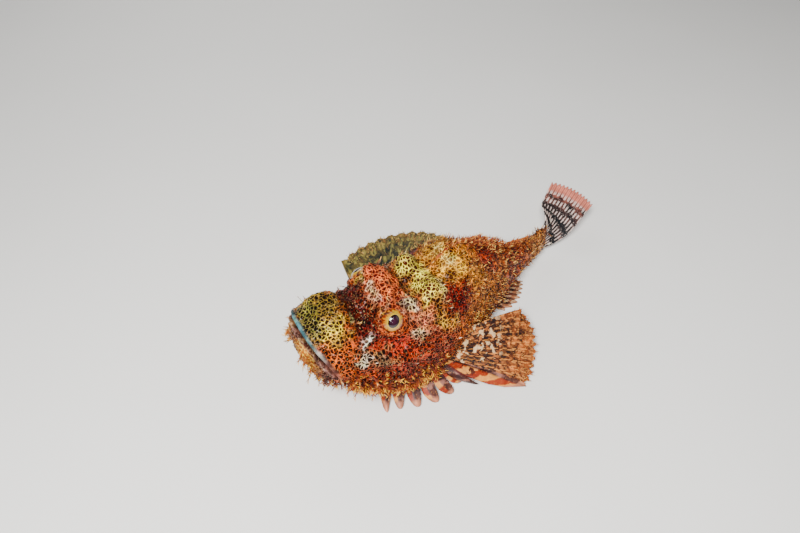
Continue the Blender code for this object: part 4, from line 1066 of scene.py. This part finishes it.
def pectoral_rule(side):
    def rule(p, s):
        run = p / (PECTORAL_RAYS - 1)
        root = on_skin(between(BASE_ALONG, run), between(BASE_TURN, run), -ROOT_DEPTH, side)
        thin_run = np.clip(p / LAST_THIN, 0, 1)
        thick_run = np.clip((p - LAST_THIN - 1) / (THICK_RAYS - 1), 0, 1)
        thick = np.clip(p - LAST_THIN, 0, 1)
        fan_sweep = between(FAN_SWEEP[side], thin_run)
        thick_sweep = between(THICK_SWEEP[side], 1 - (1 - thick_run) ** 1.8)
        thick_sweep = thick_sweep + BLADE_TURN * np.clip(p - PECTORAL_RAYS + 1, 0, 1)
        sweep = between((fan_sweep, thick_sweep), thick)
        lengths = bump_line(thin_run, *FAN_LENGTHS[side]), between(THICK_LENGTHS, thick_run**1.3)
        length = between(lengths, thick) + ROOT_DEPTH
        tip = root + swept(FIN_ALONG, sweep, side) * length[..., None]
        fan_height = between(TIP_HEIGHTS[side], thin_run**0.7)
        tip[..., 2] = np.maximum(between((fan_height, THICK_TIP_HEIGHT), thick), FIN_CLEARANCE)
        ahead = swept(FIN_ALONG, sweep + 90, side) * (length * THICK_CURL[side] * thick)[..., None]
        return arc(root, tip, length * (0.08 + 0.14 * thick), s, ahead)
    return rule


def pelvic_rule(side):
    def rule(p, s):
        run = p / (PELVIC_RAYS - 1)
        root = on_skin(70 + 5 * run, -52 - 16 * run, -ROOT_DEPTH, side)
        length = PELVIC_LENGTH * (0.72 + 0.28 * np.sin(math.pi * (0.25 + 0.6 * run)))
        tip = root + swept(FIN_ALONG, 48 - 38 * run, side) * length[..., None]
        tip[..., 2] = FIN_CLEARANCE
        return arc(root, tip, -0.1 * root[..., 2], s)
    return rule


def soft_edge(depth):
    """The edge of a fin, cut back between the rays by a share of their length."""
    return lambda p: 1 - depth * (2 * np.abs(p - np.round(p))) ** 1.4 - 0.012 * np.abs(np.sin(p * 9.7))


def pectoral_edge(p):
    off = np.abs(p - np.round(p))
    finger = 1 - 0.16 * np.clip(off / 0.40, 0, 1) ** 2.5 - 0.34 * smooth_step((off - 0.40) / 0.08)
    return np.where(p > LAST_THIN + 0.3, finger, soft_edge(0.045)(p))


print(LAST_THIN + 1, "thin rays and", THICK_RAYS, "thick ones in each pectoral fin")

# %% [markdown]
# Each fin has its own colours on the shared bars: the tail is barred black and white under a pink
# edge, the left pectoral fan is brown with cream blotches and the right one is painted a darker olive
# for the shade it lies in, and the thick lower rays are banded orange and cream in front of a grey
# purple membrane, with a painted shadow between the blades.

# %% Fin finishes


def fin_material(name, bars, ragged, rays, ray_dark, ray_pale, web_dark, web_pale, blotch, blotch_share, tip,
                 tip_from, blades=False):
    """A fin's finish. On blades the ray and what lies ahead of it are banded, the rest is membrane, and a
    painted shadow darkens the gap halfway between blades.
    """
    material, tree, shader = new_material(name, Specular_IOR_Level=0.2)
    place = object_place(tree)
    fan = use_group(bars_group, place, Fan=stored(tree, "fan", "Vector"), Bars=bars, Raggedness=ragged,
                    Rays=float(rays))
    mottle = use_group(mottle_group, place, Patch_Size=0.0045, Fleck_Size=0.0008, Fleck_Share=0.3)
    bar, ridge, reach, patches = fan["Bar"], fan["Ridge"], fan["Reach"], mottle["Patches"]
    web = mix(bar * patches, colour(*web_dark), colour(*web_pale))
    ray = mix(bar, colour(*ray_dark), colour(*ray_pale))
    base = mix(ridge, web, ray)
    if blades:
        number = fan["Across"] * (rays - 1.0)
        off = number - maths("ROUND", number)
        base = mix(off.eased(0.02, 0.10), web, ray)
        # painted shadow: dark red brown halfway between the blades, for the shade in the folds between them
        base = mix(maths("ABSOLUTE", off).eased(0.40, 0.47), base, colour(70, 14, 10))
    base = mix(mottle["Flecks"] * 0.35, base, colour(*ray_pale))
    base = mix(reach.eased(0.5, 0.95) * (patches * (0.12 if blades else 0.4)), base, colour(*tip))
    spots = noise(place, 290.0, 2.5, 0.6)[0]
    cut = spots.eased(0.66 - 0.2 * blotch_share, 0.70 - 0.2 * blotch_share)
    base = mix(cut * reach.eased(0.4, 0.7, 1.0, 0.0), base, colour(*blotch))
    tip_colour = mix(ridge, colour(*[0.72 * c for c in tip]), colour(*tip))
    base = mix((reach + spots * 0.08).eased(tip_from, tip_from + 0.05), base, tip_colour)
    base = base.scaled(patches * 0.3 + 0.82)
    finish_with_bump(shader, base, ridge * -0.12 + 0.56, patches * 0.4 + bar * 0.25, 0.00025)
    return material


FIN_FINISH = {
    "fan": fin_material(
        "mottled fan", 8.0, 3.0, 18,
        (70, 32, 18), (200, 128, 60), (30, 12, 10), (146, 80, 36),
        (204, 168, 124), 0.5, (196, 98, 26), 0.97),
    # painted shade: the far fan is a darker olive copy of the fan's finish, for the shade that the fin lies
    # in
    "far": fin_material(
        "shaded olive far fan", 5.0, 2.2, 18,
        (40, 36, 20), (122, 112, 50), (12, 20, 18), (64, 60, 30),
        (170, 166, 110), 0.2, (126, 100, 36), 0.97),
    "thick": fin_material(
        "banded thick rays", 3.4, 0.6, 18,
        (132, 36, 4), (204, 132, 58), (48, 20, 20), (128, 84, 72),
        (60, 22, 14), 0.5, (192, 122, 90), 0.93, True),
    "tail": fin_material(
        "barred tail fin", 6.5, 0.8, 13,
        (26, 18, 20), (236, 212, 200), (18, 20, 22), (72, 50, 46),
        (200, 190, 170), 0.0, (226, 130, 108), 0.84),
    "back": fin_material(
        "orange back fin", 4.0, 1.6, 12,
        (120, 36, 12), (214, 124, 44), (70, 20, 10), (160, 74, 24),
        (230, 170, 80), 0.3, (206, 110, 30), 0.9),
    "under": fin_material(
        "brown under fin", 2.5, 1.6, 8,
        (150, 92, 60), (214, 172, 130), (36, 14, 14), (96, 46, 34),
        (180, 130, 90), 0.2, (176, 110, 70), 0.92),
}
print(len(FIN_FINISH), "fin finishes")

# %% Build the fins
fins = {}
PLAIN_RAY, THICK_RAY = 1.7, 2.8


def dress(fin, node, finish):
    fin.data.materials.append(FIN_FINISH[finish])
    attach(fin, "root")
    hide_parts(node)


def build_fin(node, finish, rule, rays, rows, per_ray, reach, forked=1.0, **more):
    """Makes one fin and dresses it. How thick and how forked a ray is may be rules of its number."""
    size = more.pop("ray_size", lambda p: PLAIN_RAY + 0 * p)
    forks = forked if callable(forked) else lambda p: forked + 0 * p
    fins[node] = fin_sheet(node + "_skin", rule, rays, rows, per_ray, reach, size, forks, **more)
    dress(fins[node][0], node, finish)
    return fins[node][0]


# node, rays, first and last place along the back, ray lengths, rake in degrees, depth of the notches
for node, rays, base, lengths, rake, depth in (
        ("dorsal_fin_spines", 12, (68.0, 112.0), (9.0, 14.0, 7.5), (24.0, 24.0), 0.32),
        ("dorsal_fin_soft", 9, (114.5, 136.0), (9.5, 12.5, 9.0), (20.0, 18.0), 0.1)):
    build_fin(node, "back", dorsal_rule(rays, base, lengths, rake), rays, 34, 8, soft_edge(depth),
              forked=float(depth < 0.2))
build_fin("anal_fin", "under", anal_rule, ANAL_RAYS, 34, 9, soft_edge(0.2))
build_fin("caudal_fin", "tail", caudal_rule, CAUDAL_RAYS, 64, 10, soft_edge(0.045), start=-0.1)
for side, word, finish, webbed in ((1, "left", "fan", -0.45), (-1, "right", "far", 0.5)):
    fin = build_fin("pectoral_fin_" + word, finish, pectoral_rule(side), PECTORAL_RAYS, 64, 10, pectoral_edge,
                    lambda p: (p < LAST_THIN + 0.4).astype(float), past=BLADE_PAST,
                    ray_size=lambda p: np.where(p > LAST_THIN + 0.3, THICK_RAY, PLAIN_RAY))
    fin.data.materials.append(FIN_FINISH["thick"])
    number = read(fin.data, "fan", 3)[:, 0] * (PECTORAL_RAYS - 1)
    for face in fin.data.polygons:
        face.material_index = int(number[face.vertices[0]] > LAST_THIN + webbed)
    build_fin("pelvic_fin_" + word, "under", pelvic_rule(side), PELVIC_RAYS, 40, 10, soft_edge(0.15))
print("fins have", sum(len(f[0].data.polygons) for f in fins.values()), "faces")

# %% [markdown]
# ## Tassels, cut once and scattered by Geometry Nodes
# A scorpionfish's tassels are small branched flaps of skin. A few short shapes are modelled: a bent
# strap, a forked tassel, a long curl, a fringed leaf and a spine. Each is about one unit long and
# closed. Every point knows its place in its own small patch of the coat's map.

# %% Shapes to scatter
SHAPES = {}
for word in ("thread", "tassel", "curl", "leaf", "spine"):
    SHAPES[word] = bpy.data.collections.new(word + " shapes")
    bpy.context.scene.collection.children.link(SHAPES[word])


def strap(path, widths, flat, sides=3):
    """Points and faces of a tapered strap along a path, closed at both ends."""
    path = np.asarray(path, float)
    heading = unit(np.gradient(path, axis=0))
    across = unit(np.cross(heading, (0.04, 1.0, 0.09)))
    thick = np.cross(across, heading)
    points = []
    for at, a, t, w in zip(path[:-1], across, thick, widths):
        for turn in np.arange(sides) * 2 * math.pi / sides:
            points.append(at + w * (a * math.cos(turn) + t * flat * math.sin(turn)))
    end = len(points)
    points += [path[-1], path[0] - heading[0] * widths[0] * 0.5]
    faces = grid_faces(len(path) - 1, sides, True).tolist()
    for j in range(sides):
        k = (j + 1) % sides
        faces += [[end - sides + j, end - sides + k, end], [k, j, end + 1]]
    return np.array(points), faces


def add_shape(word, number, straps):
    """Joins straps into one small mesh and stores its place in its patch of the map."""
    points, faces = [], []
    for more, some in straps:
        faces += [[v + sum(len(p) for p in points) for v in face] for face in some]
        points.append(more)
    points = np.concatenate(points)
    obj = make_mesh(f"{word}_{number}", points / MM, faces)
    seen = points[:, [0, 2]] - points[:, [0, 2]].min(0)
    store(obj, "patch", np.pad(seen / np.ptp(seen, axis=0).max(), ((0, 0), (0, 1))), "FLOAT_VECTOR")
    store(obj, "tipward", np.clip(points[:, 2], 0, 1), "FLOAT")
    bpy.context.scene.collection.objects.unlink(obj)
    SHAPES[word].objects.link(obj)


def curve_path(start, way, length, curl, steps=4):
    """A bent path: from start along way, curling towards +Y."""
    t = np.linspace(0, 1, steps + 1)[:, None]
    return np.array(start) + unit(way) * length * t + np.array([0, curl, 0]) * length * t * t


rng = np.random.default_rng(5)
for number in range(5):
    bent = rng.uniform(0.2, 0.7)
    stem = curve_path((0, 0, -0.1), (rng.uniform(-0.4, 0.4), 0, 1), 1.1, bent)
    parts = [strap(stem, (0.10, 0.095, 0.08, 0.055), 0.7)]
    if number > 2:
        way = (rng.uniform(-0.9, 0.9), rng.uniform(-0.3, 0.3), 0.8)
        parts.append(strap(curve_path(stem[1], way, 0.6, -0.2, 3), (0.08, 0.07, 0.045), 0.7))
    add_shape("thread", number, parts)
for number in range(4):
    stem = curve_path((0, 0, -0.1), (0.1 * (number - 1), 0, 1), 1.0, 0.22)
    parts = [strap(stem, (0.11, 0.10, 0.08, 0.05), 0.6)]
    for branch in range(6):
        side = (-1) ** (branch + number)
        way = (side * rng.uniform(0.4, 1.2), rng.uniform(-0.5, 0.6), 0.8)
        twig = curve_path(stem[1 + branch % 3] * 0.9, way, rng.uniform(0.35, 0.6), 0.2, 3)
        parts.append(strap(twig, (0.07, 0.06, 0.04), 0.6))
    add_shape("tassel", number, parts)
for number in range(4):
    stem = curve_path((0, 0, -0.12), (0.06 * (number - 1.5), 0, 1), 1.1, 0.3, 5)
    parts = [strap(stem, (0.17, 0.19, 0.16, 0.11, 0.06), 0.35, 4)]
    for finger in range(10):
        side = (-1) ** finger
        way = (side * rng.uniform(0.35, 1.1), rng.uniform(-0.3, 0.5), rng.uniform(0.5, 1.0))
        start = stem[1 + finger % 4] + np.array([side * 0.06, 0, 0])
        twig = curve_path(start, way, rng.uniform(0.25, 0.5), 0.3, 3)
        parts.append(strap(twig, (0.065, 0.055, 0.035), 0.6))
    add_shape("leaf", number, parts)
thorn = curve_path((0, 0, -0.1), (0, 0, 1), 1.1, 0.10, 5)
add_shape("spine", 0, [strap(thorn, (0.22, 0.2, 0.15, 0.1, 0.05), 0.9)])
for number in range(5):
    bow = curve_path((0, 0, -0.05), (0.3 * (number - 2), 0, 1), 0.9, 0.5 + 0.15 * number, 7)
    bow[:, 0] += 0.10 * np.sin(np.linspace(0, 2 * math.pi, 8)) * (-1) ** number
    add_shape("curl", number, [strap(bow, (0.05, 0.05, 0.046, 0.042, 0.036, 0.03, 0.02), 0.7)])

# %% [markdown]
# One tree does the scattering. It either sprinkles points over a surface by its stored density, or
# takes the points it is given, such as the roots of the large flaps. Each point gets a random shape,
# stands up along the stored lay, and is scaled. Realize Instances makes it a plain mesh.

# %% The scattering tree


def scatter_tree():
    tree, get, leave = new_group(
        "Scatter on Skin", "GeometryNodeTree",
        {"Surface": "Geometry", "Shapes": "Collection", "Count per Square Metre": 100000.0, "Length": 0.002,
         "Looseness": 0.3, "Given Points": False, "Seed": 1, "Finish": "Material"},
        {"Tassels": "Geometry"})

    def named(label, kind="FLOAT_VECTOR"):
        return add(tree, "GeometryNodeInputNamedAttribute", {"Name": label}, data_type=kind)[0]

    def random(low, high, kind, more):
        made = add(tree, "FunctionNodeRandomValue", data_type=kind).raw
        sockets = {s.name: s for s in made.inputs if s.enabled}
        for label, value in (("Min", low), ("Max", high), ("Seed", get["Seed"] + float(more))):
            fill(sockets[label], value)
        return Value([s for s in made.outputs if s.enabled][0])

    def choose(sprinkled, given, kind="VECTOR"):
        links = {"Switch": get["Given Points"], "False": sprinkled, "True": given}
        return add(tree, "GeometryNodeSwitch", links, input_type=kind)[0]

    many = named("density", "FLOAT") * get["Count per Square Metre"]
    sprinkled = add(tree, "GeometryNodeDistributePointsOnFaces",
                    {"Mesh": get["Surface"], "Density": many, "Seed": get["Seed"]})["Points"]
    given = add(tree, "GeometryNodeMeshToPoints", {"Mesh": get["Surface"]})["Points"]
    shapes = add(tree, "GeometryNodeCollectionInfo",
                 {"Collection": get["Shapes"], "Separate Children": True, "Reset Children": True})[0]
    loose = random((-1, -1, -1), (1, 1, 1), "FLOAT_VECTOR", 11).scaled(get["Looseness"])
    way = directions("ADD", named("lay"), loose)
    stand = add(tree, "FunctionNodeAlignRotationToVector", {"Vector": way}, axis="Z")
    spin = choose(random((-1, -1, -1), (1, 1, 1), "FLOAT_VECTOR", 12), named("across"))
    turned = add(tree, "FunctionNodeAlignRotationToVector", {"Rotation": stand[0], "Vector": spin},
                 axis="X", pivot_axis="Z")[0]
    length = named("size", "FLOAT") * get["Length"] * random(0.65, 1.3, "FLOAT", 13)
    even = add(tree, "ShaderNodeCombineXYZ", {0: length, 1: length, 2: length})[0]
    stuck = add(tree, "GeometryNodeInstanceOnPoints", {
        "Points": choose(sprinkled, given, "GEOMETRY"), "Instance": shapes, "Pick Instance": True,
        "Instance Index": random(0, 99, "INT", 14), "Rotation": turned,
        "Scale": choose(even, named("scale"))})[0]
    real = add(tree, "GeometryNodeRealizeInstances", {0: stuck})[0]
    done = add(tree, "GeometryNodeSetMaterial", {"Geometry": real, "Material": get["Finish"]})[0]
    fill(leave["Tassels"], done)
    return tree


SCATTER = scatter_tree()
print("scattering tree has", len(SCATTER.nodes), "nodes")

# %% Turn a scatter into a plain coat piece
PATCH_SIZE, FLOOR_GAP = 0.003, 0.00012


def scatter(name, surface, **inputs):
    """Runs the tree on a surface and keeps the result as a mesh object with its coat map."""
    modifier = surface.modifiers.new("scatter", "NODES")
    modifier.node_group = SCATTER
    sockets = {s.name: s.identifier for s in SCATTER.interface.items_tree if s.in_out == "INPUT"}
    for label, value in inputs.items():
        modifier[sockets[label.replace("_", " ")]] = value
    bpy.context.view_layer.update()
    mesh = bpy.data.meshes.new_from_object(surface.evaluated_get(bpy.context.evaluated_depsgraph_get()))
    surface.modifiers.remove(modifier)
    coat = new_object(name, mesh)
    spots = read(mesh, "position", 3)
    spots[:, 2] = np.maximum(spots[:, 2], FLOOR_GAP)
    mesh.vertices.foreach_set("co", spots.ravel())
    place = read(mesh, "unwrap", 3)[:, :2] + PATCH_SIZE * read(mesh, "patch", 3)[:, :2]
    corners = np.zeros(len(mesh.loops), np.int32)
    mesh.loops.foreach_get("vertex_index", corners)
    layer = mesh.uv_layers.new(name="OFBake")
    layer.data.foreach_set("uv", place[corners].astype(np.float32).ravel())
    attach(coat, "root")
    print(name, len(mesh.polygons), "faces")


# %% [markdown]
# Tassels start as dark as the cells of the skin that they grow from, pass into its pale line colour
# and a warm one, and many end in a pale tip, partly their own golden colour and partly a painted highlight.

# %% Finish of the tassels


def coat_material(name, warm, tip, warm_share):
    material, tree, shader = new_material(name, Specular_IOR_Level=0.3)
    place = object_place(tree)
    mottle = use_group(mottle_group, place, Patch_Size=0.004, Fleck_Size=0.0006, Fleck_Share=0.4)
    tipward = stored(tree, "tipward", "Fac")
    root = mix(mottle["Patches"] * warm_share, stored(tree, "line_colour"), colour(*warm))
    root = mix(tipward.eased(0.1, 0.75, 0.92, 0.0), root, stored(tree, "cell_colour"))
    tint = noise(place, 420.0, 1.0)[0].eased(0.4, 0.62)
    # the pale tips are the threads' own golden colour, made paler as a painted highlight for their wet glint
    base = mix(tipward.eased(0.35, 0.9) * tint, root, colour(*tip)).scaled(tint * 0.65 + 0.45)
    finish_with_bump(shader, base, tipward * -0.1 + 0.6, mottle["Flecks"], 0.0001)
    return material


# warm colour, colour of the tips (partly a painted highlight), share of the warm colour
COAT_FINISH = {
    word: coat_material(*finish) for word, finish in {
        "curl": ("pale curls", (236, 150, 60), (255, 234, 170), 0.9),
        "thread": ("golden threads", (206, 82, 12), (255, 216, 110), 0.6),
        "tassel": ("orange tassels", (206, 84, 12), (250, 196, 60), 0.8),
        "leaf": ("fringed flaps", (206, 84, 22), (248, 196, 110), 0.5),
        "spine": ("head spines", (214, 140, 100), (250, 232, 204), 0.2)}.items()}


def grow(name, surface, word, **inputs):
    """Scatters the shapes of one word, in their finish."""
    scatter(name, surface, Shapes=SHAPES[word], Finish=COAT_FINISH[word], **inputs)


# surface share, shapes, count per square metre, length, looseness
REGIONS = {
    "left_flank_threads": (density * (grid_out > 0), "thread", 460000.0, 0.0032, 0.85),
    "right_flank_threads": (density * (grid_out <= 0), "thread", 460000.0, 0.0032, 0.85),
    "fringe_tassels": (fringe_density, "tassel", 400000.0, 0.0048, 0.8),
    "head_threads": (head_density, "thread", 200000.0, 0.0013, 0.7),
    "flank_curls": (density * (np.abs(degrees - 25) < 32), "curl", 32000.0, 0.0046, 0.8),
}
for seed, (name, (where, word, many, length, loose)) in enumerate(REGIONS.items()):
    skin.data.attributes["density"].data.foreach_set("value", with_ends(where).astype(np.float32).ravel())
    grow(name, skin, word, Count_per_Square_Metre=many, Length=length, Looseness=loose, Given_Points=False,
         Seed=7 + seed)

# %% [markdown]
# The large flaps and the spines of the head stand in fixed places, the same as in the solids. Their
# roots are a mesh of loose points that carry direction, width and length.

# %% Roots of the flaps and spines
# back from the snout, degrees round the body, length, width, degrees that it leans back
HEAD_FLAPS = (
    (18.5, 62, 4.0, 2.4, 20), (28, 52, 4.0, 2.0, -60), (30.5, 68, 3.8, 1.8, -50), (33, 45, 3.4, 1.8, -30),
    (40, 66, 4.2, 1.8, 40), (56.5, 60, 4.2, 1.8, 40), (60, 50, 4.0, 1.8, 50), (5, 50, 3.6, 1.8, -20),
    (9, 28, 3.6, 1.8, 0), (20, -4, 4.6, 2.4, 0), (27, -2, 6.6, 4.0, 10), (12, -2, 4.0, 2.2, -10),
    (50, 20, 3.8, 1.8, 50), (57, -2, 4.2, 2.0, 50),
)
# count, first and last place, two lengths that take turns, width
FRINGES = ((7, (20, -30), (46, -36), (6.2, 7.4), 3.4), (4, (-1, -40), (12, -62), (5.2, 6.6), 3.2))
# degrees round the body, from, to, count, length
FLAP_ROWS = ((14, 76, 129, 6, 4.6), (44, 74, 126, 6, 4.2), (-18, 84, 126, 4, 4.2), (30, 140, 149, 3, 3.4),
             (-25, 141, 149, 2, 3.2))
# back from the snout, degrees round the body, length
HEAD_SPINES = (
    (29, 58, 3.2), (33, 57, 3.0), (42, 60, 3.4), (46.5, 55, 3.2), (54, 66, 3.6), (59.5, 64, 4.0),
    (62, 42, 3.4), (25, 14, 2.6), (31, 10, 2.8), (37, 7, 3.2), (43.5, 5, 3.8),
    (51, -8, 4.6), (51.5, -20, 3.6), (49.5, -30, 3.0), (63, 27, 4.0), (64, 9, 4.0),
)
CHEEK_SPINES = ((9, -12, 3.0), (14, -14, 3.2))


def root_at(along, degrees, side):
    """A place a millimetre under the skin, and the direction out of it."""
    root = on_skin(along, degrees, -1.0, side)
    return root, unit(on_skin(along, degrees, 1.0, side) - root)


def flap_root(along, degrees, length, width, back_turn, side, droop=0.5):
    """Place, lay, width direction and scale of one flap, close to those of its solid."""
    root, normal = root_at(along, degrees, side)
    rear = local_direction(along, (1, 0, 0), side)
    lean = math.radians(back_turn)
    way = unit(normal * math.cos(lean) + rear * math.sin(lean) + np.array([0, 0, -0.22 * droop]))
    across = unit(np.cross(way, normal + 0.2 * rear + np.array([0, 0, 0.31])))
    if np.cross(way, across)[2] > 0:
        across = -across
    return root + way * 0.6, way, across, (width * 1.15, width * 1.1, length + 0.5)


def thorn_root(along, degrees, length, side, heading=(0.82, 0.30, 0.35)):
    root, normal = root_at(along, degrees, side)
    way = unit(local_direction(along, heading, side) + 0.45 * normal)
    return root, way, unit(np.cross(way, normal)), (3.4, 3.4, length + 0.9)


def roots_of(rows):
    """A mesh of loose points that carries what the tree needs, with the skin's colours at each root."""
    place, lay_, across, scale = [np.array([row[k] for row in rows], float) for k in range(4)]
    mesh = bpy.data.meshes.new("roots")
    mesh.from_pydata((place * MM).tolist(), [], [])
    obj = new_object("roots", mesh)
    near = [int(((skin_points.reshape(-1, 3) - p) ** 2).sum(-1).argmin()) for p in place]
    for label, values in (("lay", lay_), ("across", across), ("scale", scale * MM)):
        store(obj, label, values, "FLOAT_VECTOR")
    for label, grid, kind in (
            ("line_colour", line_colour, "FLOAT_COLOR"), ("cell_colour", cell_colour, "FLOAT_COLOR"),
            ("unwrap", unwrap, "FLOAT_VECTOR")):
        store(obj, label, grid.reshape(-1, 3)[near], kind)
    return obj


flap_rows, spine_rows = [], []
for side in (1, -1):
    flap_rows += [flap_root(*row, side) for row in HEAD_FLAPS]
    for count, start, end, lengths, width in FRINGES:
        for number, (along, turn) in enumerate(np.linspace(start, end, count)):
            for beside, lean in ((0, -22), (0.5, 26)):
                length = lengths[number % 2]
                flap_rows.append(flap_root(along + beside, turn, length, width, lean, side, 0.9))
    for row, (turn, start, end, count, length) in enumerate(FLAP_ROWS):
        for number, along in enumerate(np.linspace(start, end, count)):
            tilt = turn + 6 * math.sin(2.1 * number + row % 3)
            flap_rows.append(flap_root(along, tilt, length, 2.0, 52, side))
    spine_rows += [thorn_root(*row, side) for row in HEAD_SPINES]
    spine_rows += [thorn_root(*row, side, (0.2, 0.3, -0.9)) for row in CHEEK_SPINES]

flap_roots, spine_roots = roots_of(flap_rows), roots_of(spine_rows)
grow("skin_flaps", flap_roots, "leaf", Looseness=0.1, Given_Points=True, Seed=3)
grow("head_spines", spine_roots, "spine", Looseness=0.0, Given_Points=True, Seed=4)

# %% [markdown]
# The folded back fin is fuzzy with orange threads along its spines, and the fans carry a few near
# their edges. The same tree sprinkles them on the fins.

# %% Threads on the fins


def fringe_fin(node, name, density_of, length, seed, lay_up, colours):
    """Stores density, lay and colours on a fin, and scatters threads over it."""
    fin, middle = fins[node]
    across, reach, _ = read(fin.data, "fan", 3).T
    tipwards = np.tile(unit(np.gradient(middle, axis=0)).reshape(-1, 3), (2, 1))
    store(fin, "density", density_of(across, reach), "FLOAT")
    store(fin, "size", 0.8 + 0.5 * reach, "FLOAT")
    store(fin, "lay", unit(tipwards + np.array([0, 0, lay_up])), "FLOAT_VECTOR")
    for label, rgb in zip(("line_colour", "cell_colour"), colours):
        store(fin, label, np.tile(paint(*rgb), (len(reach), 1)), "FLOAT_COLOR")
    spread = np.stack([0.55 + 0.4 * across, 0.02 + 0.1 * seed + 0.09 * reach, 0 * reach], -1)
    store(fin, "unwrap", spread, "FLOAT_VECTOR")
    grow(name, fin, "thread", Count_per_Square_Metre=900000.0, Length=length, Looseness=0.6,
         Given_Points=False, Seed=seed)


def fan_density(inner, edge):
    """Few threads on the thin rays of a fan, and more from the given reach out to its edge."""
    return lambda u, v: (u < 0.62) * (inner + 0.5 * smooth_step((v - edge) / 0.2))


orange = ((228, 128, 60), (150, 56, 24))
fringe_fin("dorsal_fin_spines", "back_fin_threads", lambda u, v: 0.25 + 1.1 * v, 0.0019, 1, 0.5, orange)
fringe_fin("dorsal_fin_soft", "soft_fin_threads", lambda u, v: 0.15 + 0.5 * v, 0.0015, 2, 0.4, orange)
fringe_fin("pectoral_fin_left", "left_fan_threads", fan_density(0.04, 0.72), 0.0014, 3, 0.6,
           ((230, 150, 80), (150, 70, 36)))
fringe_fin("pectoral_fin_right", "right_fan_threads", fan_density(0.08, 0.7), 0.0014, 4, 0.6,
           ((214, 176, 96), (120, 80, 40)))

# %% Clear away the shapes and roots
for shapes in SHAPES.values():
    for obj in list(shapes.objects):
        bpy.data.objects.remove(obj)
    bpy.data.collections.remove(shapes)
for obj in (flap_roots, spine_roots):
    bpy.data.objects.remove(obj)
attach(skin, "root")
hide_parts("head", "lower_jaw", "trunk", "tail_stalk")
print("the skin stands for head, jaw, trunk and tail stalk")

# %% [markdown]
# ## Stage, light and camera
# The floor is pale. A key light stands front left and above, and a fill, a light from behind and a dim
# sky soften its shadow. The camera looks down at the fish's left cheek, as in the reference.

# %% Floor and lights
FLOOR_HALF = 3.0
corners = [(x * FLOOR_HALF, y * FLOOR_HALF, 0) for x, y in ((-1, -1), (1, -1), (1, 1), (-1, 1))]
floor_mesh = bpy.data.meshes.new("floor")
floor_mesh.from_pydata(corners, [], [(0, 1, 2, 3)])
floor = new_object("floor", floor_mesh)
floor_finish, tree, shader = new_material("pale floor")
cloudy = noise(object_place(tree), 6.0, 3.0)[0]
floor_colour = mix(cloudy, colour(226, 224, 219), colour(234, 232, 227))
finish_with_bump(shader, floor_colour, cloudy * 0.1 + 0.6, cloudy, 0.0002)
floor.data.materials.append(floor_finish)
floor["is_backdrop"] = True

# name, place, target, size in metres, watts
LIGHTS = (
    ("key", (-0.32, -0.22, 0.50), (-0.02, 0, 0.03), 0.16, 9.5),
    ("fill", (0.45, -0.40, 0.35), (0, 0, 0.03), 0.6, 0.9),
    ("back", (0.15, 0.55, 0.40), (0, 0, 0.03), 0.5, 1.7),
)
for name, place, target, across, watts in LIGHTS:
    lamp = bpy.data.lights.new(name, "AREA")
    lamp.energy, lamp.size = watts, across
    obj = new_object(name, lamp)
    obj.location = place
    obj.rotation_euler = (Vector(target) - Vector(place)).to_track_quat("-Z", "Y").to_euler()
world = bpy.data.worlds.new("studio")
world.use_nodes = True
sky = world.node_tree.nodes["Background"].inputs
sky["Color"].default_value = (0.92, 0.95, 1.0, 1.0)
sky["Strength"].default_value = 0.11
bpy.context.scene.world = world
print(len(LIGHTS), "lights")

# %% Camera
AZIMUTH, ELEVATION, DISTANCE, FOCAL = math.radians(-37.7), math.radians(46.5), 272.0, 28.17
FRAME_RIGHT, FRAME_UP = 3.91, 22.81  # how far the picture's middle lies from the left eye
level = math.cos(ELEVATION)
away = np.array([math.sin(AZIMUTH) * level, -math.cos(AZIMUTH) * level, math.sin(ELEVATION)])
right = np.array([math.cos(AZIMUTH), math.sin(AZIMUTH), 0.0])
above = np.cross(away, right)
lens = bpy.data.cameras.new("camera")
lens.lens, lens.sensor_width, lens.clip_start = FOCAL, 36.0, 0.01
camera = new_object("camera", lens)
spot = (eye_frame(1)[0] + FRAME_RIGHT * right + FRAME_UP * above + DISTANCE * away) * MM
camera.matrix_world = Matrix(np.vstack([np.column_stack([right, above, away, spot]), (0, 0, 0, 1)]).tolist())
bpy.context.scene.camera = camera
print("camera at", [round(float(v), 4) for v in spot])

# %% Size of the scene
low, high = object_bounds()
print("visual box in mm", [round(v * 1000, 1) for v in (*low, *high)])
